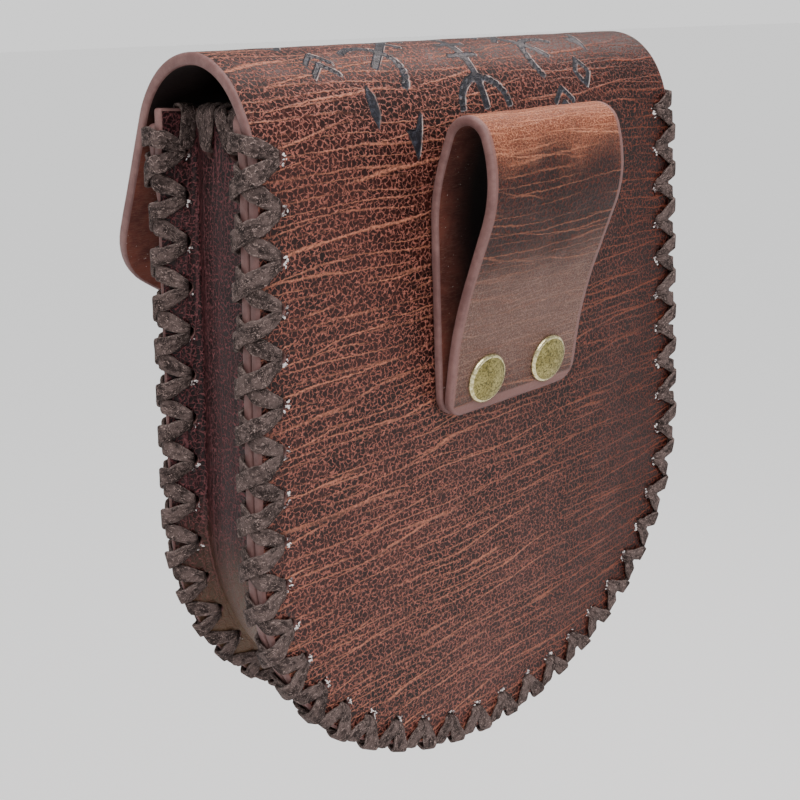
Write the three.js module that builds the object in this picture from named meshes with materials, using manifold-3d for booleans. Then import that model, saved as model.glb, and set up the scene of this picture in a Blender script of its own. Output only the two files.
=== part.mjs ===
// A leather belt pouch: a back panel that runs on over the top as a flap, a front panel, a U shaped
// gusset with folded out flanges, cross laced seams and a riveted belt loop.
// Millimetres, +Z up. The flap faces -Y and the belt loop +Y. The origin is where the belt carries the
// loop: under the loop's top bend, in the middle of its width.
import * as THREE from "three";
import { mergeVertices } from "three/addons/utils/BufferGeometryUtils.js";
import Module from "manifold-3d";

const wasm = await Module();
wasm.setup();

const degrees = Math.PI / 180;

// Leather, lace and the gap between pieces
const panelLeather = 2.5;
const gussetLeather = 2.6;
const strapLeather = 2.2;
const laceWidth = 4;
const laceThickness = 1;
const clearance = 0.3;

// The row of holes, seen from behind: straight sides that spread downwards, two shoulders and a round foot.
// Heights count from the top hole.
const seamHalfWidth = 68.9;
const seamDrop = 147.8;
const sideSplay = 4 * degrees;
const shoulderRadius = 56;
const footRadius = 80;
const holePitch = 10;
const laceNarrow = 2.2;
const seamMargin = 5.5;
const laceSpread = 0.3;

// The gusset: how far its two flanges stand apart, and how it bends
const channelDepth = 27;
const gussetRise = 8.4;
const flangeWidth = 7;
const foldRadius = 1.2;
const webBulge = 3;
const topHoleSpacing = 9;

// The front panel
const frontRise = 5.5;

// The back panel's bend over the top, and the flap
const bendStart = -3.5;
const lowerBendRadius = 27.4;
const lowerBendTurn = 35 * degrees;
const crownBackRadius = 18;
const crownFrontRadius = 23.2;
const flapFlare = 27.5 * degrees;
const flapLow = -50;
const flapFootRadius = 110;
const flapCornerRadius = 16;

// The belt loop: one strap folded over, bulging out and riveted at its foot
const strapWidth = 45;
const strapFoot = -63.5;
const strapCornerRadius = 5;
const strapLift = -20;
const liftRadius = 41;
const liftTurn = 22 * degrees;
const liftLength = 6.1;
const foldOverRadius = 6.6;
const foldOverTurn = 138 * degrees;
const bulgeRadius = 27;
const bulgeTurn = 42 * degrees;
const runInRadius = 90;
const footLean = 9 * degrees;

// The rivets
const rivetSpacing = 22;
const rivetLevel = -55.5;
const capRadius = 5.8;
const capHeight = 1.8;
const capRim = 0.7;
const postRadius = 1.5;
const washerRadius = 5;
const washerHeight = 1.2;

// How finely the round forms are cut into flat faces
const sagitta = 0.14;
const outlineStep = 12;
const roundSides = 16;
const curveSegments = 8;

// Depths, from the outer face of the back panel towards the front
const flangeBack = -(panelLeather + clearance + gussetLeather);
const flangeFront = flangeBack - channelDepth;
const frontInner = flangeFront - gussetLeather - clearance;
const frontOuter = frontInner - panelLeather;

// A hole takes two thicknesses of lace. The first lies this far off the leather, the second over it.
const holeSize = 2 * laceThickness + 3 * clearance;
const laceLift = clearance + laceThickness / 2;
const laceStep = laceThickness + clearance;

const brownLeather = { color: 0x5c3327, roughness: 0.5, metalness: 0 };
const gussetBrown = { color: 0x4a2a26, roughness: 0.55, metalness: 0 };
const laceBrown = { color: 0x2a211d, roughness: 0.9, metalness: 0 };
const agedBrass = { color: 0x8c8348, roughness: 0.4, metalness: 0.9 };

// A closed geometry as a solid that can be cut and joined
function solidOf(geometry) {
  const bare = geometry.clone();
  bare.deleteAttribute("normal");
  bare.deleteAttribute("uv");
  const merged = mergeVertices(bare, 1e-4);
  return new wasm.Manifold(
    new wasm.Mesh({
      numProp: 3,
      vertProperties: merged.attributes.position.array,
      triVerts: new Uint32Array(merged.index.array),
    }),
  );
}

// A solid as a geometry with flat shaded faces
function geometryOf(solid) {
  const mesh = solid.getMesh();
  const geometry = new THREE.BufferGeometry();
  geometry.setAttribute("position", new THREE.BufferAttribute(mesh.vertProperties, mesh.numProp));
  geometry.setIndex(new THREE.BufferAttribute(mesh.triVerts, 1));
  const faceted = geometry.toNonIndexed();
  faceted.computeVertexNormals();
  return faceted;
}

function joined(solids) {
  return solids.reduce((sum, next) => sum.add(next));
}

function cutBy(solid, tools) {
  return tools.reduce((rest, tool) => rest.subtract(tool), solid);
}

// A prism along X of a shape drawn in (Y, Z), centred on X = 0
function prismAlongX(shape, width) {
  const geometry = new THREE.ExtrudeGeometry(shape, { depth: width, bevelEnabled: false, curveSegments });
  const axes = [new THREE.Vector3(0, 1, 0), new THREE.Vector3(0, 0, 1), new THREE.Vector3(1, 0, 0)];
  geometry.applyMatrix4(new THREE.Matrix4().makeBasis(...axes));
  geometry.translate(-width / 2, 0, 0);
  return geometry;
}

// A prism along Y of a shape drawn in (X, Z), from one depth to another
function prismAlongY(shape, nearY, farY) {
  const depth = nearY - farY;
  const geometry = new THREE.ExtrudeGeometry(shape, { depth, bevelEnabled: false, curveSegments });
  geometry.rotateX(Math.PI / 2);
  geometry.translate(0, nearY, 0);
  return geometry;
}

// Six times the volume inside a triangle skin, below zero where the skin is inside out
function skinVolume(positions, faces) {
  const corner = (i) => new THREE.Vector3().fromArray(positions, 3 * i);
  let sum = 0;
  for (let i = 0; i < faces.length; i += 3) {
    const [a, b, c] = faces.slice(i, i + 3).map(corner);
    sum += a.dot(b.cross(c));
  }
  return sum;
}

// A solid skin through rings of points, with its ends closed as the flat ring is
function loftOf(rings, flatRing) {
  const size = rings[0].length;
  const positions = rings.flat().flatMap((point) => point.toArray());
  const faces = [];
  for (let ring = 0; ring + 1 < rings.length; ring += 1) {
    for (let side = 0; side < size; side += 1) {
      const a = ring * size + side;
      const b = ring * size + ((side + 1) % size);
      faces.push(a, b, b + size, a, b + size, a + size);
    }
  }
  const last = (rings.length - 1) * size;
  const clockwise = THREE.ShapeUtils.isClockWise(flatRing);
  for (const triangle of THREE.ShapeUtils.triangulateShape([...flatRing], [])) {
    const [a, b, c] = clockwise ? triangle.toReversed() : triangle;
    faces.push(c, b, a, last + a, last + b, last + c);
  }
  if (skinVolume(positions, faces) < 0) {
    faces.reverse();
  }
  const geometry = new THREE.BufferGeometry();
  geometry.setAttribute("position", new THREE.Float32BufferAttribute(positions, 3));
  geometry.setIndex(faces);
  return geometry;
}

// A path in a plane, walked from a start in straight and curved moves. A heading of 0 is the plane's second
// axis, and turns to the left count up. Each stop holds its place and heading.
function walk(start, heading, moves) {
  const stops = [{ at: start.clone(), heading }];
  const step = (length) => {
    const from = stops[stops.length - 1];
    const way = new THREE.Vector2(-Math.sin(from.heading), Math.cos(from.heading));
    stops.push({ at: from.at.clone().addScaledVector(way, length), heading: from.heading });
  };
  for (const { line, turn, radius } of moves) {
    if (line !== undefined) {
      step(line);
      continue;
    }
    const from = stops[stops.length - 1];
    const side = Math.sign(turn);
    const inward = new THREE.Vector2(-Math.cos(from.heading), -Math.sin(from.heading));
    const centre = from.at.clone().addScaledVector(inward, side * radius);
    const widest = radius + gussetLeather;
    const count = Math.max(2, Math.ceil(Math.abs(turn) / (2 * Math.acos(1 - sagitta / widest))));
    for (let i = 1; i <= count; i += 1) {
      const heading = from.heading + (turn * i) / count;
      const outward = new THREE.Vector2(Math.cos(heading), Math.sin(heading));
      stops.push({ at: centre.clone().addScaledVector(outward, side * radius), heading });
    }
  }
  return stops;
}

// The closed outline of a sheet that has a walked path as one face and lies to the left of it, or right
function sheetOutline(stops, thickness, side) {
  const inner = stops.map(({ at, heading }) => {
    const inward = new THREE.Vector2(-Math.cos(heading), -Math.sin(heading));
    return at.clone().addScaledVector(inward, side * thickness);
  });
  return [...stops.map(({ at }) => at), ...inner.reverse()];
}

// The row of holes as a path, measured from its lowest point, positive to +X. The angle is that of the
// outward normal from straight down.
const shoulderAcross = seamHalfWidth - shoulderRadius;
const shoulderRise = Math.sqrt((footRadius - shoulderRadius) ** 2 - shoulderAcross ** 2);
const footCentre = new THREE.Vector2(0, footRadius - seamDrop);
const shoulderCentre = new THREE.Vector2(shoulderAcross, footCentre.y - shoulderRise);
const footTurn = Math.atan2(shoulderAcross, shoulderRise);
const sideTurn = 90 * degrees + sideSplay;
const footLength = footRadius * footTurn;
const shoulderLength = shoulderRadius * (sideTurn - footTurn);
const sideStartZ = shoulderCentre.y + shoulderRadius * Math.sin(sideSplay);
const halfSeam = footLength + shoulderLength - sideStartZ / Math.cos(sideSplay);
const stitchCount = 2 * Math.round(halfSeam / holePitch);
const stitch = (2 * halfSeam) / stitchCount;

function seamAt(along) {
  const reach = Math.abs(along);
  const mirror = Math.sign(along) || 1;
  let angle = reach / footRadius;
  let centre = footCentre;
  let radius = footRadius;
  let beyond = 0;
  if (reach > footLength) {
    angle = footTurn + (reach - footLength) / shoulderRadius;
    centre = shoulderCentre;
    radius = shoulderRadius;
  }
  if (angle > sideTurn) {
    angle = sideTurn;
    beyond = reach - footLength - shoulderLength;
  }
  const normal = new THREE.Vector3(mirror * Math.sin(angle), 0, -Math.cos(angle));
  const tangent = new THREE.Vector3(Math.cos(angle), 0, mirror * Math.sin(angle));
  const place = new THREE.Vector3(mirror * centre.x, 0, centre.y);
  place.addScaledVector(normal, radius).addScaledVector(tangent, mirror * beyond);
  return { place, normal, tangent };
}

// A point beside the row of holes: outwards from it, at a depth, and along it
function besideSeam(outwards, depth, along) {
  const { place, normal } = seamAt(along);
  return place.clone().addScaledVector(normal, outwards).setY(depth);
}

// How far the back panel's inner face leans forward at a height, once its bend has started
function leanAt(height) {
  const radius = lowerBendRadius - panelLeather;
  const rise = Math.max(0, height - bendStart);
  return radius - Math.sqrt(radius * radius - rise * rise);
}

// What is laced to the back panel leans with it, and less towards the front
function leaned(point) {
  const share = THREE.MathUtils.clamp((point.y - flangeFront) / channelDepth, 0, 1);
  return point.clone().setY(point.y - share * leanAt(point.z));
}

// The panels' outline, seen from behind, from one top level down round the foot and up again
function panelShape(margin, topLevel) {
  const shape = new THREE.Shape();
  const shoulder = shoulderRadius + margin;
  const foot = footRadius + margin;
  const topWidth = besideSeam(margin, 0, halfSeam).x;
  shape.moveTo(-topWidth, topLevel);
  shape.lineTo(-topWidth, 0);
  const down = 270 * degrees;
  const across = shoulderCentre.x;
  shape.absarc(-across, shoulderCentre.y, shoulder, 180 * degrees - sideSplay, down - footTurn, false);
  shape.absarc(0, footCentre.y, foot, down - footTurn, down + footTurn, false);
  shape.absarc(across, shoulderCentre.y, shoulder, down + footTurn, 360 * degrees + sideSplay, false);
  shape.lineTo(topWidth, 0);
  shape.lineTo(topWidth, topLevel);
  return shape;
}

// The places of the holes along the seam
function seamHoles() {
  return Array.from({ length: stitchCount + 1 }, (_, i) => -halfSeam + i * stitch);
}

// Square tools that cut a row of holes through one layer of leather. Two strands of lace pass each hole.
function punch(nearY, farY) {
  return seamHoles().map((along) => {
    const { place, normal } = seamAt(along);
    const geometry = new THREE.BoxGeometry(holeSize, nearY - farY, holeSize);
    geometry.rotateY(Math.atan2(-normal.z, normal.x));
    geometry.translate(place.x, (nearY + farY) / 2, place.z);
    return solidOf(geometry);
  });
}

// The back panel and flap, one piece of leather: its bend in profile, cut to its outline seen from behind
const crownTurn = 90 * degrees - lowerBendTurn;
const sheetFoot = -seamDrop - seamMargin - 1;
const bendStops = walk(new THREE.Vector2(0, bendStart), 0, [
  { turn: lowerBendTurn, radius: lowerBendRadius },
  { turn: crownTurn, radius: crownBackRadius },
  { turn: 90 * degrees - flapFlare, radius: crownFrontRadius },
]);
const flapStart = bendStops[bendStops.length - 1];
const crownTop = Math.max(...bendStops.map(({ at }) => at.y));
const crownDepth = bendStops.find(({ at }) => at.y > crownTop - 1e-6).at.x;

function backAndFlap() {
  const flapLength = (flapStart.at.y - flapLow) / Math.cos(flapFlare) + panelLeather;
  const stops = [
    { at: new THREE.Vector2(0, sheetFoot), heading: 0 },
    ...bendStops,
    ...walk(flapStart.at, flapStart.heading, [{ line: flapLength }]).slice(1),
  ];
  const topWidth = besideSeam(seamMargin, 0, halfSeam).x;
  const sheetShape = new THREE.Shape(sheetOutline(stops, panelLeather, 1));
  const sheet = solidOf(prismAlongX(sheetShape, 2 * (seamHalfWidth + 2 * seamMargin)));
  const above = crownTop + 1;
  const flapShape = new THREE.Shape();
  const across = topWidth - flapCornerRadius;
  const flapCentre = flapLow + flapFootRadius;
  const cornerLevel = flapCentre - Math.sqrt((flapFootRadius - flapCornerRadius) ** 2 - across ** 2);
  const footEnd = Math.atan2(cornerLevel - flapCentre, across);
  flapShape.moveTo(-topWidth, above);
  flapShape.lineTo(-topWidth, cornerLevel);
  flapShape.absarc(-across, cornerLevel, flapCornerRadius, Math.PI, Math.PI - footEnd, false);
  flapShape.absarc(0, flapCentre, flapFootRadius, Math.PI - footEnd, 2 * Math.PI + footEnd, false);
  flapShape.absarc(across, cornerLevel, flapCornerRadius, footEnd, 0, false);
  flapShape.lineTo(topWidth, above);
  const behind = solidOf(prismAlongY(panelShape(seamMargin, above), 1, crownDepth));
  const flapReach = 2 * (crownTop - flapLow);
  const before = solidOf(prismAlongY(flapShape, crownDepth + clearance, -flapReach));
  const cut = sheet.intersect(behind.add(before));
  const rivetHoles = rivetPlaces().map((x) => postHole(x));
  return geometryOf(cutBy(cut, [...punch(1, -panelLeather - 1), ...rivetHoles]));
}

function frontPanel() {
  const panel = solidOf(prismAlongY(panelShape(seamMargin, frontRise), frontInner, frontOuter));
  return geometryOf(cutBy(panel, punch(frontInner + 1, frontOuter - 1)));
}

// The gusset's section, in (outwards from the row of holes, depth): a flange, a web that bulges and a flange
function gussetSection() {
  const chord = channelDepth - 2 * foldRadius * (1 + Math.sin(webLean()));
  const webRadius = chord / (2 * Math.sin(webLean()));
  const fold = { turn: 90 * degrees + webLean(), radius: foldRadius };
  const stops = walk(new THREE.Vector2(seamMargin, flangeBack), 90 * degrees, [
    { line: flangeWidth },
    fold,
    { turn: -2 * webLean(), radius: webRadius },
    fold,
    { line: flangeWidth },
  ]);
  return sheetOutline(stops, gussetLeather, -1);
}

// The web's slope where it leaves a flange, from its bulge over the width between them
function webLean() {
  return 2 * Math.atan((2 * webBulge) / channelDepth);
}

// The stations of the gusset along the seam, closer together where it bends
function gussetStations() {
  const top = halfSeam + gussetRise / Math.cos(sideSplay);
  const bendEnd = halfSeam + bendStart / Math.cos(sideSplay);
  const sideStart = footLength + shoulderLength;
  const arcs = Math.ceil(sideStart / outlineStep);
  const half = Array.from({ length: arcs + 1 }, (_, i) => (sideStart * i) / arcs);
  half.push(bendEnd);
  const leaning = 4;
  for (let i = 1; i <= leaning; i += 1) {
    half.push(bendEnd + ((top - bendEnd) * i) / leaning);
  }
  return [...half.slice(1).reverse().map((along) => -along), ...half];
}

function gusset() {
  const section = gussetSection();
  const rings = gussetStations().map((along) =>
    section.map(({ x, y }) => leaned(besideSeam(x, y, along))),
  );
  const body = solidOf(loftOf(rings, section));
  const webHoles = [-1, 1].flatMap((end) =>
    topHoles().map((depth) => {
      const hole = new THREE.BoxGeometry(4 * seamMargin, holeSize, holeSize);
      hole.translate(besideSeam(0, 0, end * halfSeam).x, depth, 0);
      return solidOf(hole);
    }),
  );
  const tools = [
    ...punch(flangeBack + gussetLeather + 1, flangeBack - 1),
    ...punch(flangeFront + 1, flangeFront - gussetLeather - 1),
    ...webHoles,
  ];
  return geometryOf(cutBy(body, tools));
}

// The depths of the holes in the web, near its top edge
function topHoles() {
  const middle = flangeBack - channelDepth / 2;
  return [middle - topHoleSpacing / 2, middle + topHoleSpacing / 2];
}

// A flat strand of lace through stops that each have a place, half a width and half a thickness outwards
function strand(stops) {
  const corners = [[1, 1], [1, -1], [-1, -1], [-1, 1]];
  const rings = stops.map(({ at, side, out }) =>
    corners.map(([w, t]) => leaned(at.clone().addScaledVector(side, w).addScaledVector(out, t))),
  );
  const flat = corners.map(([w, t]) => new THREE.Vector2(w, t));
  return loftOf(rings, flat);
}

// One pass of the cross lacing: a flat lace that comes up through a hole, runs slantwise over the edge and
// down into the next hole, all along the seam. The second pass runs the other way, over the first.
function lacePass(nearFace, farFace, way) {
  const second = way < 0;
  const lift = laceLift + (second ? laceStep : 0);
  const inHole = (second ? -laceStep : laceStep) / 2;
  const edge = seamMargin + lift;
  const stop = (outwards, depth, along, width, outwardSign, depthSign) => {
    const { normal, tangent } = seamAt(along);
    const out = normal.clone().multiplyScalar((outwardSign * laceThickness) / 2);
    out.y = (depthSign * laceThickness) / 2;
    return { at: besideSeam(outwards, depth, along), side: tangent.multiplyScalar(width / 2), out };
  };
  const mouths = (along) => [
    stop(inHole, farFace - lift, along, laceNarrow, -1, -1),
    stop(inHole, nearFace + lift, along, laceNarrow, -1, 1),
  ];
  const holes = seamHoles();
  if (second) {
    holes.reverse();
  }
  const stops = [...mouths(holes[0])];
  holes.slice(1).forEach((next, i) => {
    const from = THREE.MathUtils.lerp(holes[i], next, laceSpread);
    const to = THREE.MathUtils.lerp(holes[i], next, 1 - laceSpread);
    stops.push(stop(edge, nearFace + lift, from, laceWidth, 1, 1));
    stops.push(stop(edge, farFace - lift, to, laceWidth, 1, -1));
    stops.push(...mouths(next));
  });
  return geometryOf(solidOf(strand(stops)));
}

// The lacing over a gusset end: from each hole in the web a strand leans either way over the top edge
function topLacing(end) {
  const half = laceThickness / 2;
  const seamX = besideSeam(0, 0, halfSeam).x;
  const webOut = seamMargin - flangeWidth - foldRadius + webBulge;
  const outside = seamX + webOut + laceLift;
  const inside = seamX + webOut - webBulge - gussetLeather - laceLift;
  const top = gussetRise + laceLift;
  const lean = topHoleSpacing / 3;
  const pieces = [];
  for (const depth of topHoles()) {
    const core = new THREE.BoxGeometry(outside - inside, laceNarrow, laceNarrow);
    core.translate((end * (outside + inside)) / 2, depth, 0);
    pieces.push(solidOf(core));
    for (const way of [-1, 1]) {
      const stop = (x, z, shift, width, outX, outZ) => ({
        at: new THREE.Vector3(end * x, depth + way * shift, z),
        side: new THREE.Vector3(0, width / 2, 0),
        out: new THREE.Vector3(end * outX * half, 0, outZ * half),
      });
      const stops = [
        stop(outside, 0, 0, laceNarrow, 1, 0),
        stop(outside, top, lean, laceWidth, 1, 1),
        stop(inside, top, lean, laceWidth, -1, 1),
        stop(inside, 0, 0, laceNarrow, -1, 0),
      ];
      pieces.push(solidOf(strand(stops)));
    }
  }
  return geometryOf(joined(pieces));
}

// The belt loop's path: the face that lies on the back panel, then the outer face down to the foot. The
// two straight runs are as long as it takes to bring the outer layer back onto the inner one at the foot.
function strapMoves() {
  const bends = [
    { turn: -liftTurn, radius: liftRadius },
    { line: liftLength },
    { turn: -foldOverTurn, radius: foldOverRadius },
    { turn: -bulgeTurn, radius: bulgeRadius },
  ];
  const bent = walk(new THREE.Vector2(0, strapLift), 0, bends);
  const reached = bent[bent.length - 1].at;
  const runLean = liftTurn + foldOverTurn + bulgeTurn - 180 * degrees;
  const [runSine, runCosine] = [Math.sin(runLean), Math.cos(runLean)];
  const [footSine, footCosine] = [Math.sin(footLean), Math.cos(footLean)];
  const inwards = reached.x - clearance - 2 * strapLeather - runInRadius * (footCosine - runCosine);
  const downwards = reached.y - strapFoot - runInRadius * (runSine - footSine);
  const share = runSine * footCosine - footSine * runCosine;
  const run = (inwards * footCosine - downwards * footSine) / share;
  const footRun = (downwards * runSine - inwards * runCosine) / share;
  return [
    { line: strapLift - strapFoot },
    ...bends,
    { line: run },
    { turn: runLean - footLean, radius: runInRadius },
    { line: footRun },
  ];
}

const strapStops = walk(new THREE.Vector2(clearance, strapFoot), 0, strapMoves());
const loopTop = Math.max(...strapStops.map(({ at }) => at.y));
const loopTopDepth = strapStops.find(({ at }) => at.y > loopTop - 1e-6).at.x;

function beltLoop() {
  const shape = new THREE.Shape(sheetOutline(strapStops, strapLeather, -1));
  const strap = solidOf(prismAlongX(shape, strapWidth));
  const half = strapWidth / 2;
  const inset = half - strapCornerRadius;
  const foot = strapFoot + strapCornerRadius;
  const outline = new THREE.Shape();
  outline.moveTo(-half, loopTop + 1);
  outline.lineTo(-half, foot);
  outline.absarc(-inset, foot, strapCornerRadius, Math.PI, 1.5 * Math.PI, false);
  outline.absarc(inset, foot, strapCornerRadius, 1.5 * Math.PI, 2 * Math.PI, false);
  outline.lineTo(half, loopTop + 1);
  const rounded = strap.intersect(solidOf(prismAlongY(outline, 2 * bulgeRadius, 0)));
  return geometryOf(cutBy(rounded, rivetPlaces().map((x) => postHole(x))));
}

function rivetPlaces() {
  return [-rivetSpacing / 2, rivetSpacing / 2];
}

function postHole(x) {
  const reach = 2 * bulgeRadius;
  const hole = new THREE.CylinderGeometry(postRadius + clearance, postRadius + clearance, reach, 8);
  hole.translate(x, 0, rivetLevel);
  return solidOf(hole);
}

// A rivet: a low domed cap square to the strap, a post through all the leather and a flat washer inside
function rivet(x) {
  const [upper, lower] = strapStops.slice(-2).map((stop) => stop.at);
  const share = (upper.y - rivetLevel) / (upper.y - lower.y);
  const seat = upper.clone().lerp(lower, share);
  const profile = [
    new THREE.Vector2(0, clearance),
    new THREE.Vector2(capRadius, clearance),
    new THREE.Vector2(capRadius, clearance + capRim),
  ];
  const domeSteps = 4;
  for (let i = 1; i <= domeSteps; i += 1) {
    const angle = (90 * degrees * i) / domeSteps;
    const rise = (capHeight - capRim) * Math.sin(angle);
    profile.push(new THREE.Vector2(capRadius * Math.cos(angle), clearance + capRim + rise));
  }
  profile[profile.length - 1].x = 0;
  const cap = new THREE.LatheGeometry(profile, roundSides);
  cap.rotateX(-footLean);
  cap.translate(x, seat.x, seat.y);
  const inner = -panelLeather - clearance - washerHeight;
  const outer = seat.x + (clearance + capHeight) / 2;
  const post = new THREE.CylinderGeometry(postRadius, postRadius, outer - inner, 8);
  post.translate(x, (outer + inner) / 2, rivetLevel);
  const washer = new THREE.CylinderGeometry(washerRadius, washerRadius, washerHeight, roundSides);
  washer.translate(x, inner + washerHeight / 2, rivetLevel);
  return geometryOf(joined([solidOf(cap), solidOf(post), solidOf(washer)]));
}

function named(name, geometry, finish) {
  const mesh = new THREE.Mesh(geometry, new THREE.MeshStandardMaterial(finish));
  mesh.name = name;
  return mesh;
}

const body = new THREE.Group();
body.add(named("back_and_flap", backAndFlap(), brownLeather));
body.add(named("front_panel", frontPanel(), brownLeather));
body.add(named("gusset", gusset(), gussetBrown));

const loop = new THREE.Group();
loop.add(named("belt_loop", beltLoop(), brownLeather));
loop.add(named("rivet_left", rivet(-rivetSpacing / 2), agedBrass));
loop.add(named("rivet_right", rivet(rivetSpacing / 2), agedBrass));

const lacing = new THREE.Group();
lacing.add(named("lace_back_first", lacePass(0, flangeBack, 1), laceBrown));
lacing.add(named("lace_back_second", lacePass(0, flangeBack, -1), laceBrown));
lacing.add(named("lace_front_first", lacePass(flangeFront, frontOuter, 1), laceBrown));
lacing.add(named("lace_front_second", lacePass(flangeFront, frontOuter, -1), laceBrown));
lacing.add(named("lace_gusset_left", topLacing(-1), laceBrown));
lacing.add(named("lace_gusset_right", topLacing(1), laceBrown));

// The pouch hangs on the underside of the loop's top bend, which is the origin
const pouch = new THREE.Group();
pouch.add(body, loop, lacing);
pouch.position.set(0, -loopTopDepth, -(loopTop - strapLeather));

export default pouch;
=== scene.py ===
# A leather belt pouch seen from behind: a back panel that runs on over the top as a flap, a front panel, a
# gusset, cross laced seams and a riveted belt loop. Each leather piece is cut flat, punched and then bent to
# its place, as the real ones are, and each lace is a flat band laid along its route.
import math
import random

import bmesh
import bpy
import numpy as np
from mathutils import Matrix, Vector, noise


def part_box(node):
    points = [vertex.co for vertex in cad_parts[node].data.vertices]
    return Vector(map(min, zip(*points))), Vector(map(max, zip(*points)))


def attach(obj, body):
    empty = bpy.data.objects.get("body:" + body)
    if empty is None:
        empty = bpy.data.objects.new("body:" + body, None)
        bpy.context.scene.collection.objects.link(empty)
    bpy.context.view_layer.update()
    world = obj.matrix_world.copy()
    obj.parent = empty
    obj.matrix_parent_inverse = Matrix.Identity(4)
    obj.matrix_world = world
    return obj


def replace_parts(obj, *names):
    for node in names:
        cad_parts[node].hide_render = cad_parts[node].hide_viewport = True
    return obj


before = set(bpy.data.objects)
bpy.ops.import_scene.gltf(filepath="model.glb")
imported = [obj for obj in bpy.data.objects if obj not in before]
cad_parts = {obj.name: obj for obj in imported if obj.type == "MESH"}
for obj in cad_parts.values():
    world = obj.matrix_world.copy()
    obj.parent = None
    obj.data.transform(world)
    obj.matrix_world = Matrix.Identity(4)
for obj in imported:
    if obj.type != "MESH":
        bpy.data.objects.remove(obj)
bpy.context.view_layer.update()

# Sizes are in millimetres and angles in radians. Pieces are scaled to metres when they are placed.
MM = 0.001
DEGREES = math.pi / 180

# Leather and lace
PANEL_LEATHER = 2.5
GUSSET_LEATHER = 2.6
STRAP_LEATHER = 2.2
LAYER_GAP = 0.3
LACE_WIDTH = 3.9
LACE_THICKNESS = 0.95
HOLE_RADIUS = 1.6
PANEL_EDGE = 0.7
GUSSET_EDGE = 0.6
STRAP_EDGE = 0.75
PUNCH_CORNERS = 14

# The sides of the cells that leather is sliced into before it is bent, small where the ornament or a fold is
CELL = 2.5
GUSSET_CELL = 1.5
STRAP_CELLS = (1.25, 1.0)
ORNAMENT_CELL = 0.8
FOLD_CELL = 0.4
ORNAMENT_SIDES = (-62, 64)
ORNAMENT_LEVELS = (-14, 98)
BEYOND_SIDES = 80
BEYOND_FOOT = -160

# The row of holes, seen from behind: straight sides, two shoulders and a round foot, below the top hole
SEAM_HALF_WIDTH = 68.9
SEAM_DROP = 147.8
SIDE_SPLAY = 4 * DEGREES
SHOULDER_RADIUS = 56
FOOT_RADIUS = 80
HOLE_PITCH = 10
SEAM_MARGIN = 5.5

# The gusset
CHANNEL_DEPTH = 27
GUSSET_RISE = 8.4
FLANGE_WIDTH = 7
FOLD_RADIUS = 1.2
WEB_BULGE = 3
TOP_HOLE_SPACING = 9

# The front panel, the bend over the top and the flap
FRONT_RISE = 5.5
FRONT_CORNER_RADIUS = 1.5
BEND_START = -3.5
LOWER_BEND_RADIUS = 27.4
LOWER_BEND_TURN = 35 * DEGREES
CROWN_BACK_RADIUS = 18
CROWN_FRONT_RADIUS = 23.2
FLAP_FLARE = 27.5 * DEGREES
FLAP_LOW = -50
FLAP_FOOT_RADIUS = 110
FLAP_CORNER_RADIUS = 16

# The belt loop
STRAP_WIDTH = 45
STRAP_FOOT = -63.5
STRAP_CORNER_RADIUS = 5
STRAP_LIFT = -20
LIFT_RADIUS = 41
LIFT_TURN = 22 * DEGREES
LIFT_LENGTH = 6.1
FOLD_OVER_RADIUS = 6.6
FOLD_OVER_TURN = 138 * DEGREES
BULGE_RADIUS = 27
BULGE_TURN = 42 * DEGREES
RUN_IN_RADIUS = 90
FOOT_LEAN = 9 * DEGREES

# The rivets
RIVET_SPACING = 22
RIVET_LEVEL = -55.5
CAP_RADIUS = 6.1
CAP_HEIGHT = 1.5
BRIGHT_FROM = 0.88 * CAP_RADIUS
CAP_RIM = 0.55
INNER_CAP = [(0, 1.2), (3.4, 1.05), (4.7, 0.6), (5, 0.2), (4.9, 0), (0, 0)]
POST_RADIUS = 1.5

# The front seam leans forward, less so near the top, where the flap comes over it
FRONT_LEAN = 34 * DEGREES
LEAN_START = -5
LEAN_REACH = 6
LEAN_FADE = 11
LEAN_TOP = 4
LEAN_RAMP = 16

# Depths, from the outer face of the back panel towards the front
FLANGE_BACK = -(PANEL_LEATHER + LAYER_GAP + GUSSET_LEATHER)
FLANGE_FRONT = FLANGE_BACK - CHANNEL_DEPTH
FRONT_INNER = FLANGE_FRONT - GUSSET_LEATHER - LAYER_GAP
FRONT_OUTER = FRONT_INNER - PANEL_LEATHER

# The sizes count from the back panel's outer face and the top hole. The solids say where those lie.
BACK_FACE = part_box("back_and_flap")[1][1] / MM
TOP_HOLE_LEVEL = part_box("belt_loop")[0][2] / MM - STRAP_FOOT

# The camera, where the photograph was taken from
CAMERA_PLACE = Vector((202.4, 183.3, 23.7))
CAMERA_AZIMUTH = 137.26 * DEGREES
CAMERA_ELEVATION = 17.87 * DEGREES
CAMERA_ROLL = -2.14 * DEGREES
CAMERA_LENS = 52.47
CAMERA_SENSOR = 36


def add_camera():
    """The camera at the photograph's place and angle."""
    camera = bpy.data.objects.new("camera", bpy.data.cameras.new("camera"))
    camera.data.lens = CAMERA_LENS
    camera.data.sensor_width = CAMERA_SENSOR
    camera.data.clip_start = 0.01
    level = math.cos(CAMERA_ELEVATION)
    back = Vector(
        (math.sin(CAMERA_AZIMUTH) * level, -math.cos(CAMERA_AZIMUTH) * level, math.sin(CAMERA_ELEVATION))
    )
    turn = back.to_track_quat("Z", "Y").to_matrix() @ Matrix.Rotation(CAMERA_ROLL, 3, "Z")
    spot = (CAMERA_PLACE + Vector((0, BACK_FACE, TOP_HOLE_LEVEL))) * MM
    camera.matrix_world = Matrix.Translation(spot) @ turn.to_4x4()
    bpy.context.scene.collection.objects.link(camera)
    bpy.context.scene.camera = camera


add_camera()


# Paths and places


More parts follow.
